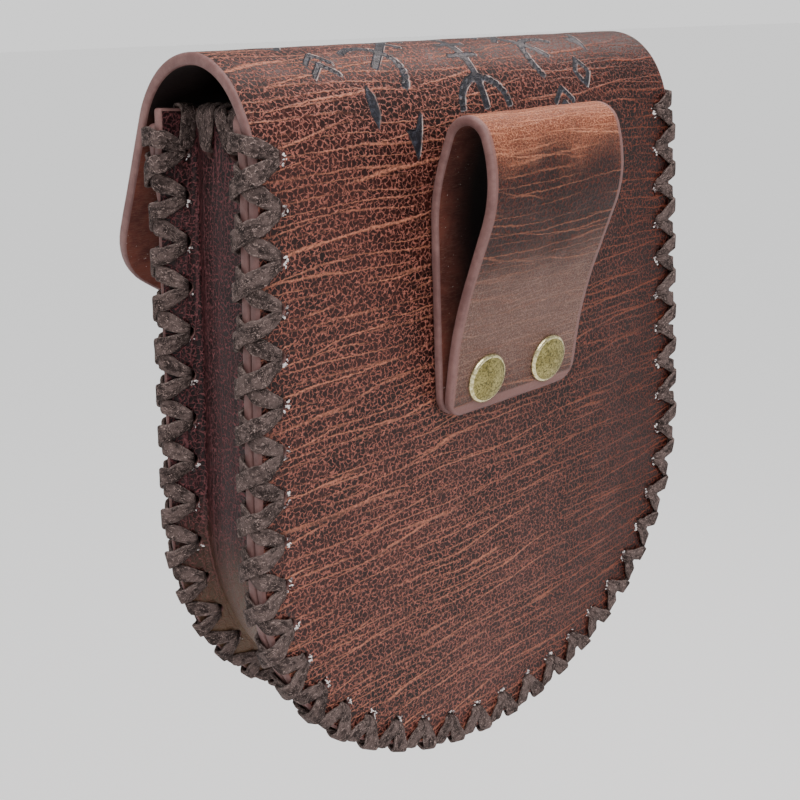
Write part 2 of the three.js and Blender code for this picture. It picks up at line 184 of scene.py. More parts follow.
class Bend:
    """A path in a plane, in straight and round runs of a length and a turn. A heading of 0 is the plane's
    second axis, and turns to the left count up."""

    def __init__(self, start, heading, runs, first=0.0):
        self.runs = []
        at, along = Vector(start), first
        for length, turn in runs:
            self.runs.append((along, at.copy(), heading, turn / length))
            across, up, heading = self.follow(length, at, heading, turn / length)
            at = Vector((float(across), float(up)))
            along += length
        self.end = along
        self.end_place = at

    @staticmethod
    def follow(length, at, heading, bend):
        """Where a run is, and which way it heads, a length after its start."""
        if abs(bend) < 1e-9:
            return at.x - length * math.sin(heading), at.y + length * math.cos(heading), heading + 0 * length
        later = heading + bend * length
        across = at.x + (np.cos(later) - math.cos(heading)) / bend
        up = at.y + (np.sin(later) - math.sin(heading)) / bend
        return across, up, later

    def at(self, along):
        """The two places and the heading at each length along the path."""
        along = np.asarray(along, float)
        found = np.zeros((3, *along.shape))
        for i, (start, at, heading, bend) in enumerate(self.runs):
            here = along >= (start if i else -np.inf)
            found[:, here] = self.follow(along[here] - start, at, heading, bend)
        return found


def arc(radius, turn):
    """A round run, of a radius and a turn."""
    return radius * abs(turn), turn


SHOULDER_ACROSS = SEAM_HALF_WIDTH - SHOULDER_RADIUS
SHOULDER_RISE = math.sqrt((FOOT_RADIUS - SHOULDER_RADIUS) ** 2 - SHOULDER_ACROSS**2)
FOOT_CENTRE = FOOT_RADIUS - SEAM_DROP
SHOULDER_CENTRE = FOOT_CENTRE - SHOULDER_RISE
FOOT_TURN = math.atan2(SHOULDER_ACROSS, SHOULDER_RISE)
SIDE_TURN = math.pi / 2 + SIDE_SPLAY
FOOT_LENGTH = FOOT_RADIUS * FOOT_TURN
SHOULDER_LENGTH = SHOULDER_RADIUS * (SIDE_TURN - FOOT_TURN)
SIDE_START = SHOULDER_CENTRE + SHOULDER_RADIUS * math.sin(SIDE_SPLAY)
HALF_SEAM = FOOT_LENGTH + SHOULDER_LENGTH - SIDE_START / math.cos(SIDE_SPLAY)
STITCHES = 2 * round(HALF_SEAM / HOLE_PITCH)
SEAM_HOLES = np.linspace(-HALF_SEAM, HALF_SEAM, STITCHES + 1)


def seam_at(along):
    """Places and outward normals on the row of holes, as X and Z, by the length from its foot towards +X."""
    along = np.asarray(along, float)
    reach = np.abs(along)
    mirror = np.where(along < 0, -1.0, 1.0)
    foot = reach <= FOOT_LENGTH
    angle = np.where(foot, reach / FOOT_RADIUS, FOOT_TURN + (reach - FOOT_LENGTH) / SHOULDER_RADIUS)
    beyond = np.where(angle > SIDE_TURN, reach - FOOT_LENGTH - SHOULDER_LENGTH, 0)
    angle = np.minimum(angle, SIDE_TURN)
    radius = np.where(foot, FOOT_RADIUS, SHOULDER_RADIUS)
    x = mirror * (np.where(foot, 0, SHOULDER_ACROSS) + radius * np.sin(angle) + beyond * np.cos(angle))
    z = np.where(foot, FOOT_CENTRE, SHOULDER_CENTRE) - radius * np.cos(angle) + beyond * np.sin(angle)
    return x, z, mirror * np.sin(angle), -np.cos(angle)


def leaning(outwards, depth, level):
    """Where a point beside the front seam goes as the seam's edges lean forward in a soft bend."""
    back_off = np.clip((depth - FLANGE_FRONT) / LEAN_FADE, 0, 1)
    full = FRONT_LEAN * np.clip((LEAN_TOP - level) / LEAN_RAMP, 0.1, 1)
    radius = LEAN_REACH / full
    turn = np.clip((outwards - LEAN_START) / radius, 0, full)
    beyond = np.maximum(outwards - LEAN_START - LEAN_REACH, 0)
    share = (1 - back_off) ** 2 * (1 + 2 * back_off)
    ahead = np.minimum(depth - FLANGE_FRONT, 0)
    bent = LEAN_START + radius * np.sin(turn) + beyond * np.cos(turn) + ahead * np.sin(turn)
    moved = np.where(outwards > LEAN_START, bent - outwards, 0)
    forward = radius * (1 - np.cos(turn)) + beyond * np.sin(turn) + ahead * (1 - np.cos(turn))
    return outwards + moved * share, depth - forward * share


def outside_seam(x, z):
    """How far points of the front panel lie outside the row of holes, and which way that is."""
    across, mirror = np.abs(x), np.where(x < 0, -1.0, 1.0)
    foot = np.arctan2(across, FOOT_CENTRE - z) < FOOT_TURN
    centre_x = np.where(foot, 0, SHOULDER_ACROSS)
    centre_z = np.where(foot, FOOT_CENTRE, SHOULDER_CENTRE)
    angle = np.minimum(np.arctan2(across - centre_x, centre_z - z), SIDE_TURN)
    normal_x, normal_z = np.sin(angle), -np.cos(angle)
    reach = (across - centre_x) * normal_x + (z - centre_z) * normal_z
    return reach - np.where(foot, FOOT_RADIUS, SHOULDER_RADIUS), mirror * normal_x, normal_z


def beside_seam(outwards, depth, along):
    """Points beside the row of holes. What is laced to the back panel leans forward with it near the top."""
    x, z, normal_x, normal_z = seam_at(along)
    outwards, depth = leaning(outwards, depth, z)
    x = x + outwards * normal_x
    z = z + outwards * normal_z
    radius = LOWER_BEND_RADIUS - PANEL_LEATHER
    rise = np.clip(z - BEND_START, 0, radius)
    share = np.clip((depth - FLANGE_FRONT) / CHANNEL_DEPTH, 0, 1)
    return np.stack([x, depth - share * (radius - np.sqrt(radius**2 - rise**2)), z], -1)


def rounded(centre, radius, start, end, step=2.0):
    """Points on a round stretch of an outline, about a step apart."""
    x, y = centre
    count = max(3, math.ceil(abs(end - start) * radius / step) + 1)
    return [(x + radius * math.cos(a), y + radius * math.sin(a)) for a in np.linspace(start, end, count)]


def rounded_box(low, high, corners):
    """A box's outline from its lower left corner round. Each corner has a radius and a step."""
    outline = []
    for i, (radius, step) in enumerate(corners):
        x = high[0] - radius if i in (1, 2) else low[0] + radius
        y = high[1] - radius if i > 1 else low[1] + radius
        start = (i + 2) % 4 * math.pi / 2
        outline += rounded((x, y), radius, start, start + math.pi / 2, step)
    return outline


def steps_between(low, high, step):
    count = math.ceil((high - low) / step)
    return [low + (high - low) * i / count for i in range(1, count)]


# Nodes for the materials


def node(tree, kind, inputs=(), **settings):
    """A node with its settings, and with each input linked or given its value."""
    made = tree.nodes.new(kind)
    for name, value in settings.items():
        setattr(made, name, value)
    for name, value in dict(inputs).items():
        if isinstance(value, bpy.types.NodeSocket):
            tree.links.new(value, made.inputs[name])
        else:
            made.inputs[name].default_value = value
    return made


def maths(tree, operation, a, b=0.0):
    return node(tree, "ShaderNodeMath", {0: a, 1: b}, operation=operation).outputs[0]


def times(tree, a, b):
    return maths(tree, "MULTIPLY", a, b)


def plus(tree, a, b):
    return maths(tree, "ADD", a, b)


def object_place(tree):
    return node(tree, "ShaderNodeTexCoord").outputs["Object"]


def axis_of(tree, vector, axis):
    return node(tree, "ShaderNodeSeparateXYZ", {0: vector}).outputs[axis]


def mapped(tree, place, turn=0.0, scale=(1, 1, 1)):
    """A place turned in its plane and scaled."""
    inputs = {"Vector": place, "Rotation": (0, 0, turn), "Scale": scale}
    return node(tree, "ShaderNodeMapping", inputs).outputs[0]


def ramp(tree, value, low, high, start=0.0, end=1.0):
    """The value taken from one range to another, smoothly and clamped."""
    inputs = {"Value": value, "From Min": low, "From Max": high, "To Min": start, "To Max": end}
    return node(tree, "ShaderNodeMapRange", inputs, interpolation_type="SMOOTHSTEP").outputs["Result"]


def blend(tree, share, a, b, how="MIX"):
    """Two colours mixed. A colour is a socket or three numbers."""
    made = node(tree, "ShaderNodeMix", data_type="RGBA", blend_type=how)
    for socket, value in ((made.inputs[0], share), (made.inputs[6], a), (made.inputs[7], b)):
        if isinstance(value, bpy.types.NodeSocket):
            tree.links.new(value, socket)
        else:
            socket.default_value = (*value, 1) if isinstance(value, tuple) else value
    return made.outputs[2]


def attribute(tree, name, output="Fac"):
    return node(tree, "ShaderNodeAttribute", attribute_name=name).outputs[output]


def fbm(tree, place, scale, detail=3.0, roughness=0.55, distortion=0.0):
    inputs = {"Vector": place, "Scale": scale, "Detail": detail}
    inputs |= {"Roughness": roughness, "Distortion": distortion}
    return node(tree, "ShaderNodeTexNoise", inputs).outputs["Fac"]


def group(name, inputs, outputs, build):
    """A shared node group. Inputs are names with a socket kind and a default, and build gives the outputs."""
    tree = bpy.data.node_groups.new(name, "ShaderNodeTree")
    for label, (kind, default) in inputs.items():
        socket = tree.interface.new_socket(label, in_out="INPUT", socket_type=kind)
        if default is not None:
            socket.default_value = default
    for label, kind in outputs.items():
        tree.interface.new_socket(label, in_out="OUTPUT", socket_type=kind)
    source = tree.nodes.new("NodeGroupInput").outputs
    sink = tree.nodes.new("NodeGroupOutput")
    for label, socket in build(tree, source).items():
        tree.links.new(socket, sink.inputs[label])
    return tree


def use(tree, shared, **inputs):
    """A shared group placed in a material. An underscore in a name stands for a space."""
    made = tree.nodes.new("ShaderNodeGroup")
    made.node_tree = shared
    for name, value in inputs.items():
        socket = made.inputs[name.replace("_", " ")]
        if isinstance(value, bpy.types.NodeSocket):
            tree.links.new(value, socket)
        else:
            socket.default_value = value
    return made.outputs


VECTOR, FLOAT = "NodeSocketVector", "NodeSocketFloat"
NOWHERE = 999


def edge_distance(tree, place, scale):
    """How far a place lies from the edges of flat cells."""
    inputs = {"Vector": place, "Scale": scale}
    settings = {"feature": "DISTANCE_TO_EDGE", "voronoi_dimensions": "2D"}
    return node(tree, "ShaderNodeTexVoronoi", inputs, **settings).outputs["Distance"]


def stretched(tree, place, along, across):
    """Noise drawn out along the first axis."""
    return fbm(tree, mapped(tree, place, scale=(along, across, 1)), 1.0, 2.0)


def creases(tree, place, slant, spacing, width):
    """Thin uneven lines side by side, near the first axis, that fade out and in again."""
    turned_place = mapped(tree, place, slant)
    side = axis_of(tree, turned_place, "Y")
    drift = times(tree, stretched(tree, turned_place, 0.014, 0.5 / spacing), 1.7)
    turn = maths(tree, "FRACT", plus(tree, maths(tree, "DIVIDE", side, spacing), drift))
    line = ramp(tree, maths(tree, "ABSOLUTE", maths(tree, "SUBTRACT", turn, 0.5)), 0.2 * width, width, 1, 0)
    return times(tree, line, ramp(tree, stretched(tree, turned_place, 0.035, 0.2), 0.4, 0.6))


def shaken(tree, place, scale, reach):
    """A place moved about by noise."""
    wobble = node(tree, "ShaderNodeTexNoise", {"Vector": place, "Scale": scale, "Detail": 2.0}).outputs[1]
    middle = {0: wobble, 1: (0.5, 0.5, 0.5)}
    shift = node(tree, "ShaderNodeVectorMath", middle, operation="SUBTRACT").outputs[0]
    moved = {0: shift, 1: (reach, reach, 0), 2: place}
    return node(tree, "ShaderNodeVectorMath", moved, operation="MULTIPLY_ADD").outputs[0]


def build_cracks(tree, source):
    """A fine net of cracks, and longer creases that run along the first axis, some fine and some bold."""
    place, cell = source["Place"], source["Cell"]
    bent = shaken(tree, place, 0.9, 2.1)
    scale = maths(tree, "DIVIDE", 1.0, cell)
    net = ramp(tree, edge_distance(tree, bent, scale), 0.02, 0.17, 1, 0)
    where = ramp(tree, fbm(tree, place, 0.8, 3.0), 0.36, 0.58, 0.15, 1)
    ragged = shaken(tree, shaken(tree, place, 0.04, 4.0), 0.9, 0.8)
    fine = creases(tree, ragged, -4 * DEGREES, 2.3, 0.12)
    bold = creases(tree, ragged, 3 * DEGREES, 5.6, 0.06)
    crease = maths(tree, "MAXIMUM", times(tree, fine, 0.75), bold)
    crease = times(tree, crease, ramp(tree, fbm(tree, place, 1.4, 3.0), 0.35, 0.5, 0.3, 1))
    return {"Net": times(tree, net, where), "Crease": crease}


cracks = group(
    "cracks", {"Place": (VECTOR, None), "Cell": (FLOAT, 1.2)}, {"Net": FLOAT, "Crease": FLOAT}, build_cracks
)


def build_mottle(tree, source):
    """Cloudy dark and light places, in large, middling and small patches."""
    place, size = source["Place"], source["Size"]
    scale = maths(tree, "DIVIDE", 1.0, size)
    large = fbm(tree, place, scale, 3.0, 0.6)
    small = fbm(tree, place, times(tree, scale, 5.3), 4.0, 0.65)
    grit = fbm(tree, place, times(tree, scale, 48.0), 2.0, 0.7)
    both = plus(tree, times(tree, large, 0.6), times(tree, small, 0.4))
    return {"Cloud": ramp(tree, both, 0.36, 0.64), "Grit": grit}


mottle = group(
    "mottle", {"Place": (VECTOR, None), "Size": (FLOAT, 30.0)}, {"Cloud": FLOAT, "Grit": FLOAT}, build_mottle
)


def new_material(name, roughness=0.5, specular=0.5):
    material = bpy.data.materials.new(name)
    material.use_nodes = True
    tree = material.node_tree
    shader = tree.nodes["Principled BSDF"]
    shader.inputs["Roughness"].default_value = roughness
    shader.inputs["Specular IOR Level"].default_value = specular
    return material, tree, shader


def bump(tree, shader, height, distance):
    """Bump of a depth in millimetres."""
    made = node(tree, "ShaderNodeBump", {"Height": height, "Distance": distance * MM})
    tree.links.new(made.outputs[0], shader.inputs["Normal"])


def leather_grain(name, wear_and_painted_light, dark, base, light, tan, slant=3 * DEGREES, cell=1.25):
    """Antiqued leather: mottled, with a net of fine lighter cracks and longer tan creases."""
    material, tree, shader = new_material(name, specular=0.25)
    cut = attribute(tree, "cut", "Vector")
    place = mapped(tree, cut, slant)
    clouds = use(tree, mottle, Place=place, Size=34.0)
    lines = use(tree, cracks, Place=place, Cell=cell)
    colour = blend(tree, clouds["Cloud"], dark, base)
    colour = blend(tree, times(tree, lines["Net"], 0.8), colour, light)
    colour = blend(tree, times(tree, lines["Crease"], 0.72), colour, tan)
    shade = ramp(tree, clouds["Grit"], 0.3, 0.7, 0.72, 1.2)
    grey = node(tree, "ShaderNodeCombineColor", {0: shade, 1: shade, 2: shade}).outputs[0]
    colour = blend(tree, 1.0, colour, grey, "MULTIPLY")
    height = plus(tree, lines["Net"], times(tree, lines["Crease"], 1.4))
    height = plus(tree, height, times(tree, clouds["Grit"], 0.5))
    rough = ramp(tree, clouds["Cloud"], 0, 1, 0.5, 0.4)
    rough = plus(tree, rough, times(tree, lines["Net"], 0.14))
    colour, rough, height = wear_and_painted_light(tree, cut, colour, rough, height)
    tree.links.new(colour, shader.inputs["Base Color"])
    tree.links.new(rough, shader.inputs["Roughness"])
    bump(tree, shader, height, 0.11)
    return material


def ornament_dye_and_painted_light(tree, cut, colour, rough, height):
    """Painted shade, darkening the leather towards one side, and the ornament, pressed in and dyed
    blue-black, with a painted pale glint along one side of each line."""
    # Painted shade: the leather is darkened towards -X, where less light falls.
    across = axis_of(tree, cut, "X")
    ragged = plus(tree, across, times(tree, fbm(tree, cut, 0.05, 3.0), 30.0))
    colour = blend(tree, ramp(tree, ragged, -52, 34, 1, 0), colour, (0.44, 0.28, 0.22), "MULTIPLY")
    inside = ramp(tree, attribute(tree, "mark"), -0.12, 0.12, 1, 0)
    # Painted highlight: a pale glint along one side of each pressed line.
    beside = ramp(tree, attribute(tree, "mark_glint"), -0.1, 0.1, 1, 0)
    glint = times(tree, beside, maths(tree, "SUBTRACT", 1.0, inside))
    glint = times(tree, glint, ramp(tree, fbm(tree, cut, 0.22, 2.0), 0.4, 0.6, 0.15, 1))
    wear_and_lit_share = ramp(tree, fbm(tree, cut, 0.8, 3.0, 0.7), 0.45, 0.75)
    dye = blend(tree, wear_and_lit_share, (0.011, 0.011, 0.015), (0.05, 0.052, 0.07))
    colour = blend(tree, inside, colour, dye)
    colour = blend(tree, times(tree, glint, 0.75), colour, (0.55, 0.45, 0.42))
    rough = times(tree, rough, ramp(tree, inside, 0, 1, 1, 0.8))
    pressed = ramp(tree, attribute(tree, "mark"), -0.35, 0.1, -2.4, 0)
    height = times(tree, height, ramp(tree, inside, 0, 1, 1, 0.3))
    return colour, rough, plus(tree, height, pressed)


def strap_painted_light_and_rims(tree, cut, colour, rough, height):
    """The loop: painted orange light at the fold over the top, its plain dark leather below, and a painted
    grey reflection towards the foot.
    """
    along = axis_of(tree, cut, "Y")
    # Painted highlight: the fold over the top is coloured bright orange, as if lit from above.
    ragged = plus(tree, along, times(tree, fbm(tree, cut, 0.09, 3.0), 16.0))
    painted_top_light = times(tree, ramp(tree, ragged, 58, 74), ramp(tree, ragged, 84, 100, 1, 0))
    wrinkles = use(tree, cracks, Place=mapped(tree, cut, scale=(1.5, 1.9, 1)), Cell=1.15)
    lines = maths(tree, "MAXIMUM", wrinkles["Net"], wrinkles["Crease"])
    top_light_colour = blend(tree, lines, (0.17, 0.045, 0.02), (0.66, 0.25, 0.13))
    colour = blend(tree, times(tree, painted_top_light, 0.9), colour, top_light_colour, "SCREEN")
    # Painted reflection: paler and greyer towards the foot, as if the pale floor shone in it.
    painted_floor_reflection = times(tree, ramp(tree, ragged, 112, 128), ramp(tree, ragged, 142, 158, 1, 0.3))
    floor_reflection_colour = blend(tree, lines, (0.15, 0.076, 0.06), (0.38, 0.23, 0.18))
    colour = blend(tree, times(tree, painted_floor_reflection, 0.72), colour, floor_reflection_colour)
    across = maths(tree, "ABSOLUTE", axis_of(tree, cut, "X"))
    sides = ramp(tree, across, STRAP_WIDTH / 2 - 1.7, STRAP_WIDTH / 2 - 1.2)
    foot = ramp(tree, along, strap_bend.end - 3.2, strap_bend.end - 2.4)
    rim = maths(tree, "MAXIMUM", sides, foot)
    colour = blend(tree, times(tree, rim, 0.85), colour, (0.2, 0.1, 0.09))
    height = plus(tree, height, times(tree, lines, 0.6))
    return colour, rough, times(tree, height, ramp(tree, rim, 0, 1, 1, 0.2))


def gusset_wear(tree, cut, colour, rough, height):
    """The gusset: taupe round the foot."""
    reach = maths(tree, "ABSOLUTE", axis_of(tree, cut, "Y"))
    ragged = plus(tree, reach, times(tree, fbm(tree, cut, 0.08, 2.0), 24.0))
    foot = ramp(tree, ragged, 78, 126, 1, 0)
    colour = blend(tree, times(tree, foot, 0.75), colour, (0.12, 0.07, 0.038))
    return colour, rough, height


def leather_flesh(name, bright_from=NOWHERE, bright_beside=NOWHERE):
    """The leather's inner side: reddish brown and hairy, with tiny pale specks. Painted shade makes it nearly
    black where it lies unlit, which is up to a length along the piece and nearer than a distance to its
    middle line."""
    material, tree, shader = new_material(name, 0.8, 0.25)
    cut = attribute(tree, "cut", "Vector")
    hair = fbm(tree, mapped(tree, cut, 0.6, (0.5, 3.0, 1)), 1.1, 4.0, 0.7, 0.6)
    cloud = use(tree, mottle, Place=cut, Size=22.0)["Cloud"]
    colour = blend(tree, cloud, (0.075, 0.018, 0.013), (0.19, 0.052, 0.035))
    colour = blend(tree, ramp(tree, hair, 0.45, 0.75), colour, (0.17, 0.07, 0.05))
    speck = ramp(tree, fbm(tree, cut, 1.7, 1.0, 0.5), 0.74, 0.8)
    colour = blend(tree, times(tree, speck, 0.8), colour, (0.6, 0.5, 0.45))
    along = axis_of(tree, cut, "Y")
    across = maths(tree, "ABSOLUTE", axis_of(tree, cut, "X"))
    beside = ramp(tree, across, bright_beside - 12, bright_beside, 0, 0.8)
    wear_and_lit_share = maths(tree, "MAXIMUM", ramp(tree, along, bright_from - 14, bright_from), beside)
    # Painted shade: where the flesh lies unlit, it is coloured nearly black.
    colour = blend(tree, wear_and_lit_share, (0.008, 0.0028, 0.0024), colour)
    tree.links.new(colour, shader.inputs["Base Color"])
    bump(tree, shader, hair, 0.15)
    return material


def leather_edge():
    """A cut edge, painted a dull pink brown and rubbed smooth."""
    material, tree, shader = new_material("leather_edge", 0.55, 0.3)
    cut = attribute(tree, "cut", "Vector")
    parts = use(tree, mottle, Place=cut, Size=9.0)
    colour = blend(tree, parts["Cloud"], (0.14, 0.068, 0.063), (0.21, 0.112, 0.102))
    colour = blend(tree, ramp(tree, parts["Grit"], 0.55, 0.75, 0, 0.5), colour, (0.08, 0.036, 0.033))
    tree.links.new(colour, shader.inputs["Base Color"])
    bump(tree, shader, parts["Grit"], 0.06)
    return material


def suede_lace():
    """Flat suede lace: brown black with fine paler fibres, most of them along its edges."""
    material, tree, shader = new_material("suede_lace", 0.95, 0.15)
    lay = attribute(tree, "lay", "Vector")
    place = mapped(tree, lay, scale=(2.0, 0.8, 0.8))
    fibre = fbm(tree, place, 2.1, 4.0, 0.75, 1.2)
    nap = fbm(tree, place, 0.5, 3.0, 0.65)
    across = maths(tree, "ABSOLUTE", axis_of(tree, lay, "X"))
    colour = blend(tree, ramp(tree, nap, 0.35, 0.65), (0.02, 0.0135, 0.0125), (0.1, 0.07, 0.064))
    colour = blend(tree, ramp(tree, fibre, 0.52, 0.68, 0, 0.85), colour, (0.36, 0.26, 0.235))
    fray = times(tree, ramp(tree, across, 0.82, 0.99), ramp(tree, fibre, 0.45, 0.6, 0, 0.9))
    colour = blend(tree, times(tree, fray, 0.6), colour, (0.26, 0.2, 0.18))
    tree.links.new(colour, shader.inputs["Base Color"])
    bump(tree, shader, fibre, 0.22)
    return material


def torn_finish():
    """The leather's glossy finish where punching tore it: pale and shiny."""
    material, tree, shader = new_material("torn_finish", 0.18)
    fleck = fbm(tree, object_place(tree), 900.0, 2.0)
    colour = blend(tree, ramp(tree, fleck, 0.4, 0.6), (0.08, 0.045, 0.045), (0.72, 0.66, 0.64))
    tree.links.new(colour, shader.inputs["Base Color"])
    shader.inputs["Coat Weight"].default_value = 0.6
    return material


def bright_brass():
    """Brass rubbed bright on a rivet's rim."""
    material, tree, shader = new_material("bright_brass", 0.25)
    grain = fbm(tree, object_place(tree), 1500.0, 3.0, 0.6)
    colour = blend(tree, ramp(tree, grain, 0.4, 0.65), (0.78, 0.7, 0.42), (0.42, 0.36, 0.17))
    tree.links.new(colour, shader.inputs["Base Color"])
    shader.inputs["Metallic"].default_value = 0.9
    bump(tree, shader, grain, 0.02)
    return material


def aged_brass():
    """Dull olive brass with a fine grain and darker spots."""
    material, tree, shader = new_material("aged_brass", 0.36)
    grain = fbm(tree, object_place(tree), 1900.0, 3.0, 0.7)
    cloud = fbm(tree, object_place(tree), 300.0, 3.0)
    colour = blend(tree, ramp(tree, cloud, 0.4, 0.62), (0.24, 0.2, 0.065), (0.34, 0.29, 0.11))
    colour = blend(tree, ramp(tree, grain, 0.46, 0.64, 0, 0.85), colour, (0.06, 0.05, 0.014))
    colour = blend(tree, ramp(tree, grain, 0.42, 0.3, 0, 0.5), colour, (0.6, 0.54, 0.3))
    tree.links.new(colour, shader.inputs["Base Color"])
    tree.links.new(ramp(tree, grain, 0.3, 0.7, 0.3, 0.48), shader.inputs["Roughness"])
    shader.inputs["Metallic"].default_value = 0.9
    bump(tree, shader, grain, 0.05)
    return material


# Leather, cut flat


def finished(bm, name, materials):
    """The bmesh as an object with its materials."""
    mesh = bpy.data.meshes.new(name)
    bm.to_mesh(mesh)
    bm.free()
    for material in materials:
        mesh.materials.append(material)
    made = bpy.data.objects.new(name, mesh)
    bpy.context.scene.collection.objects.link(made)
    return made


GRAIN, FLESH, EDGE = range(3)


def cut_leather(outline, thickness, edge_radius, cells):
    """A flat piece of leather, grain side up at height 0, its edges rounded and both sides in cells."""
    bm = bmesh.new()
    grain = bm.faces.new([bm.verts.new((x, y, 0)) for x, y in outline])
    under = bmesh.ops.extrude_face_region(bm, geom=[grain], use_keep_orig=True)["geom"]
    low = [v for v in under if isinstance(v, bmesh.types.BMVert)]
    bmesh.ops.translate(bm, vec=(0, 0, -thickness), verts=low)
    bmesh.ops.recalc_face_normals(bm, faces=bm.faces)
    for face in bm.faces:
        face.material_index = EDGE if abs(face.normal.z) < 0.5 else GRAIN if face.normal.z > 0 else FLESH
    rim = [e for e in bm.edges if abs(e.verts[0].co.z - e.verts[1].co.z) < thickness / 2]
    bmesh.ops.bevel(bm, geom=rim, offset=edge_radius, segments=3, profile=0.5, affect="EDGES", material=EDGE)
    for axis, steps in enumerate(cells):
        slice_apart(bm, bm.faces[:], axis, steps)
    return bm


def slice_apart(bm, faces, axis, steps):
    """Cuts the faces at each step along an axis: at the middle step first, and then each half by itself."""
    if not steps or not faces:
        return
    middle = len(steps) // 2
    normal = Vector((axis == 0, axis == 1, 0))
    parts = [*faces, *(e for f in faces for e in f.edges), *(v for f in faces for v in f.verts)]
    cut = bmesh.ops.bisect_plane(
        bm, geom=list(dict.fromkeys(parts)), dist=1e-4, plane_co=normal * steps[middle], plane_no=normal
    )
    faces = [part for part in cut["geom"] if isinstance(part, bmesh.types.BMFace)]
    below = [face.calc_center_median()[axis] < steps[middle] for face in faces]
    slice_apart(bm, [face for face, low in zip(faces, below) if low], axis, steps[:middle])
    slice_apart(bm, [face for face, low in zip(faces, below) if not low], axis, steps[middle + 1 :])


def punch(leather, holes, thickness):
    """Cuts round holes through the flat leather."""
    bm = bmesh.new()
    for x, y in holes:
        size = {"radius1": HOLE_RADIUS, "radius2": HOLE_RADIUS, "depth": 3 * thickness}
        made = bmesh.ops.create_cone(bm, cap_ends=True, segments=PUNCH_CORNERS, **size)
        bmesh.ops.translate(bm, vec=(x, y, -thickness / 2), verts=made["verts"])
    for face in bm.faces:
        face.material_index = EDGE
    tool = finished(bm, "punch", leather.data.materials)
    cut = leather.modifiers.new("holes", "BOOLEAN")
    cut.object = tool
    cut.solver = "EXACT"
    depsgraph = bpy.context.evaluated_depsgraph_get()
    mesh = bpy.data.meshes.new_from_object(leather.evaluated_get(depsgraph))
    leather.modifiers.clear()
    leather.data = mesh
    bpy.data.objects.remove(tool)


def line_distance(points, start, end):
    start, way = np.array(start), np.subtract(end, start)
    share = np.clip((points - start) @ way / (way @ way), 0, 1)
    return np.linalg.norm(points - start - share[:, None] * way, axis=1)


def keep_attribute(mesh, name, values):
    """Stores a number, or three, for each point of the mesh, for its material to read."""
    kind, field = ("FLOAT", "value") if values.ndim == 1 else ("FLOAT_VECTOR", "vector")
    made = mesh.attributes.new(name, kind, "POINT")
    made.data.foreach_set(field, np.ascontiguousarray(values, np.float32).ravel())


def mesh_points(mesh):
    points = np.zeros(3 * len(mesh.vertices))
    mesh.vertices.foreach_get("co", points)
    return points.reshape(-1, 3)


def place(made, points, slot):
    """Puts the piece's points where they belong, in metres, and rides it on the pouch."""
    made.data.vertices.foreach_set("co", ((points + (0, BACK_FACE, TOP_HOLE_LEVEL)) * MM).ravel())
    bm = bmesh.new()
    bm.from_mesh(made.data)
    bmesh.ops.recalc_face_normals(bm, faces=bm.faces)
    bm.to_mesh(made.data)
    bm.free()
    made.data.shade_smooth()
    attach(made, "root")
    return made


def unevenness(across, along, size, height, seed):
    """A soft unevenness of a height over the flat points, from noise of a size."""
    return np.array([height * noise.noise((x / size, y / size, seed)) for x, y in zip(across, along)])


def leather_piece(name, sides, outline, stock, cells, holes, bend, slot, relief=0.1):
    """A piece of leather cut to its outline, punched and bent. The sides are the materials of its grain and
    its flesh, and the stock is its thickness and its edge's radius. The bend takes across, along and the
    depth under the grain side, and gives places."""
    thickness, edge_radius = stock
    made = finished(cut_leather(outline, thickness, edge_radius, cells), name, [*sides, edge])
    if len(holes):
        punch(made, holes, thickness)
    points = mesh_points(made.data)
    across, along = points[:, 0], points[:, 1]
    keep_attribute(made.data, "cut", points)
    lift = np.where(points[:, 2] > -thickness / 2, unevenness(across, along, 8, relief, 1), 0)
    return place(made, bend(across, along, -points[:, 2] - lift), slot)


# The back panel and flap

CROWN_TURN = math.pi / 2 - LOWER_BEND_TURN
FAR_BELOW = 2 * SEAM_DROP
back_bend = Bend(
    (0, -FAR_BELOW),
    0,
    [
        (FAR_BELOW + BEND_START, 0),
        arc(LOWER_BEND_RADIUS, LOWER_BEND_TURN),
        arc(CROWN_BACK_RADIUS, CROWN_TURN),
        arc(CROWN_FRONT_RADIUS, math.pi / 2 - FLAP_FLARE),
    ],
    first=-FAR_BELOW,
)
back_bend.runs.append((back_bend.end, back_bend.end_place, math.pi - FLAP_FLARE, 0))


def bend_back(across, along, depth):
    y, z, heading = back_bend.at(along)
    return np.stack([across, y - depth * np.cos(heading), z - depth * np.sin(heading)], -1)


def panel_outline():
    """A panel's sides and foot, from the -X top hole's level round to the +X one's."""
    x, z, normal_x, normal_z = seam_at(np.linspace(-HALF_SEAM, HALF_SEAM, 4 * STITCHES))
    return list(zip(x + SEAM_MARGIN * normal_x, z + SEAM_MARGIN * normal_z))


def flap_outline(half_width):
    """The flap's outline on the flat leather, from its +X corner round to its -X one."""
    across = half_width - FLAP_CORNER_RADIUS
    centre = FLAP_LOW + FLAP_FOOT_RADIUS
    corner = centre - math.sqrt((FLAP_FOOT_RADIUS - FLAP_CORNER_RADIUS) ** 2 - across**2)
    turn = math.atan2(corner - centre, across)
    drawn = [
        *rounded((across, corner), FLAP_CORNER_RADIUS, 0, turn),
        *rounded((0, centre), FLAP_FOOT_RADIUS, turn, -math.pi - turn)[1:-1],
        *rounded((-across, corner), FLAP_CORNER_RADIUS, -math.pi - turn, -math.pi),
    ]
    flare = math.cos(FLAP_FLARE)
    return [(x, back_bend.end + (back_bend.end_place.y - z) / flare) for x, z in drawn]


def hole_places():
    x, z, _, _ = seam_at(SEAM_HOLES)
    return list(zip(x, z))


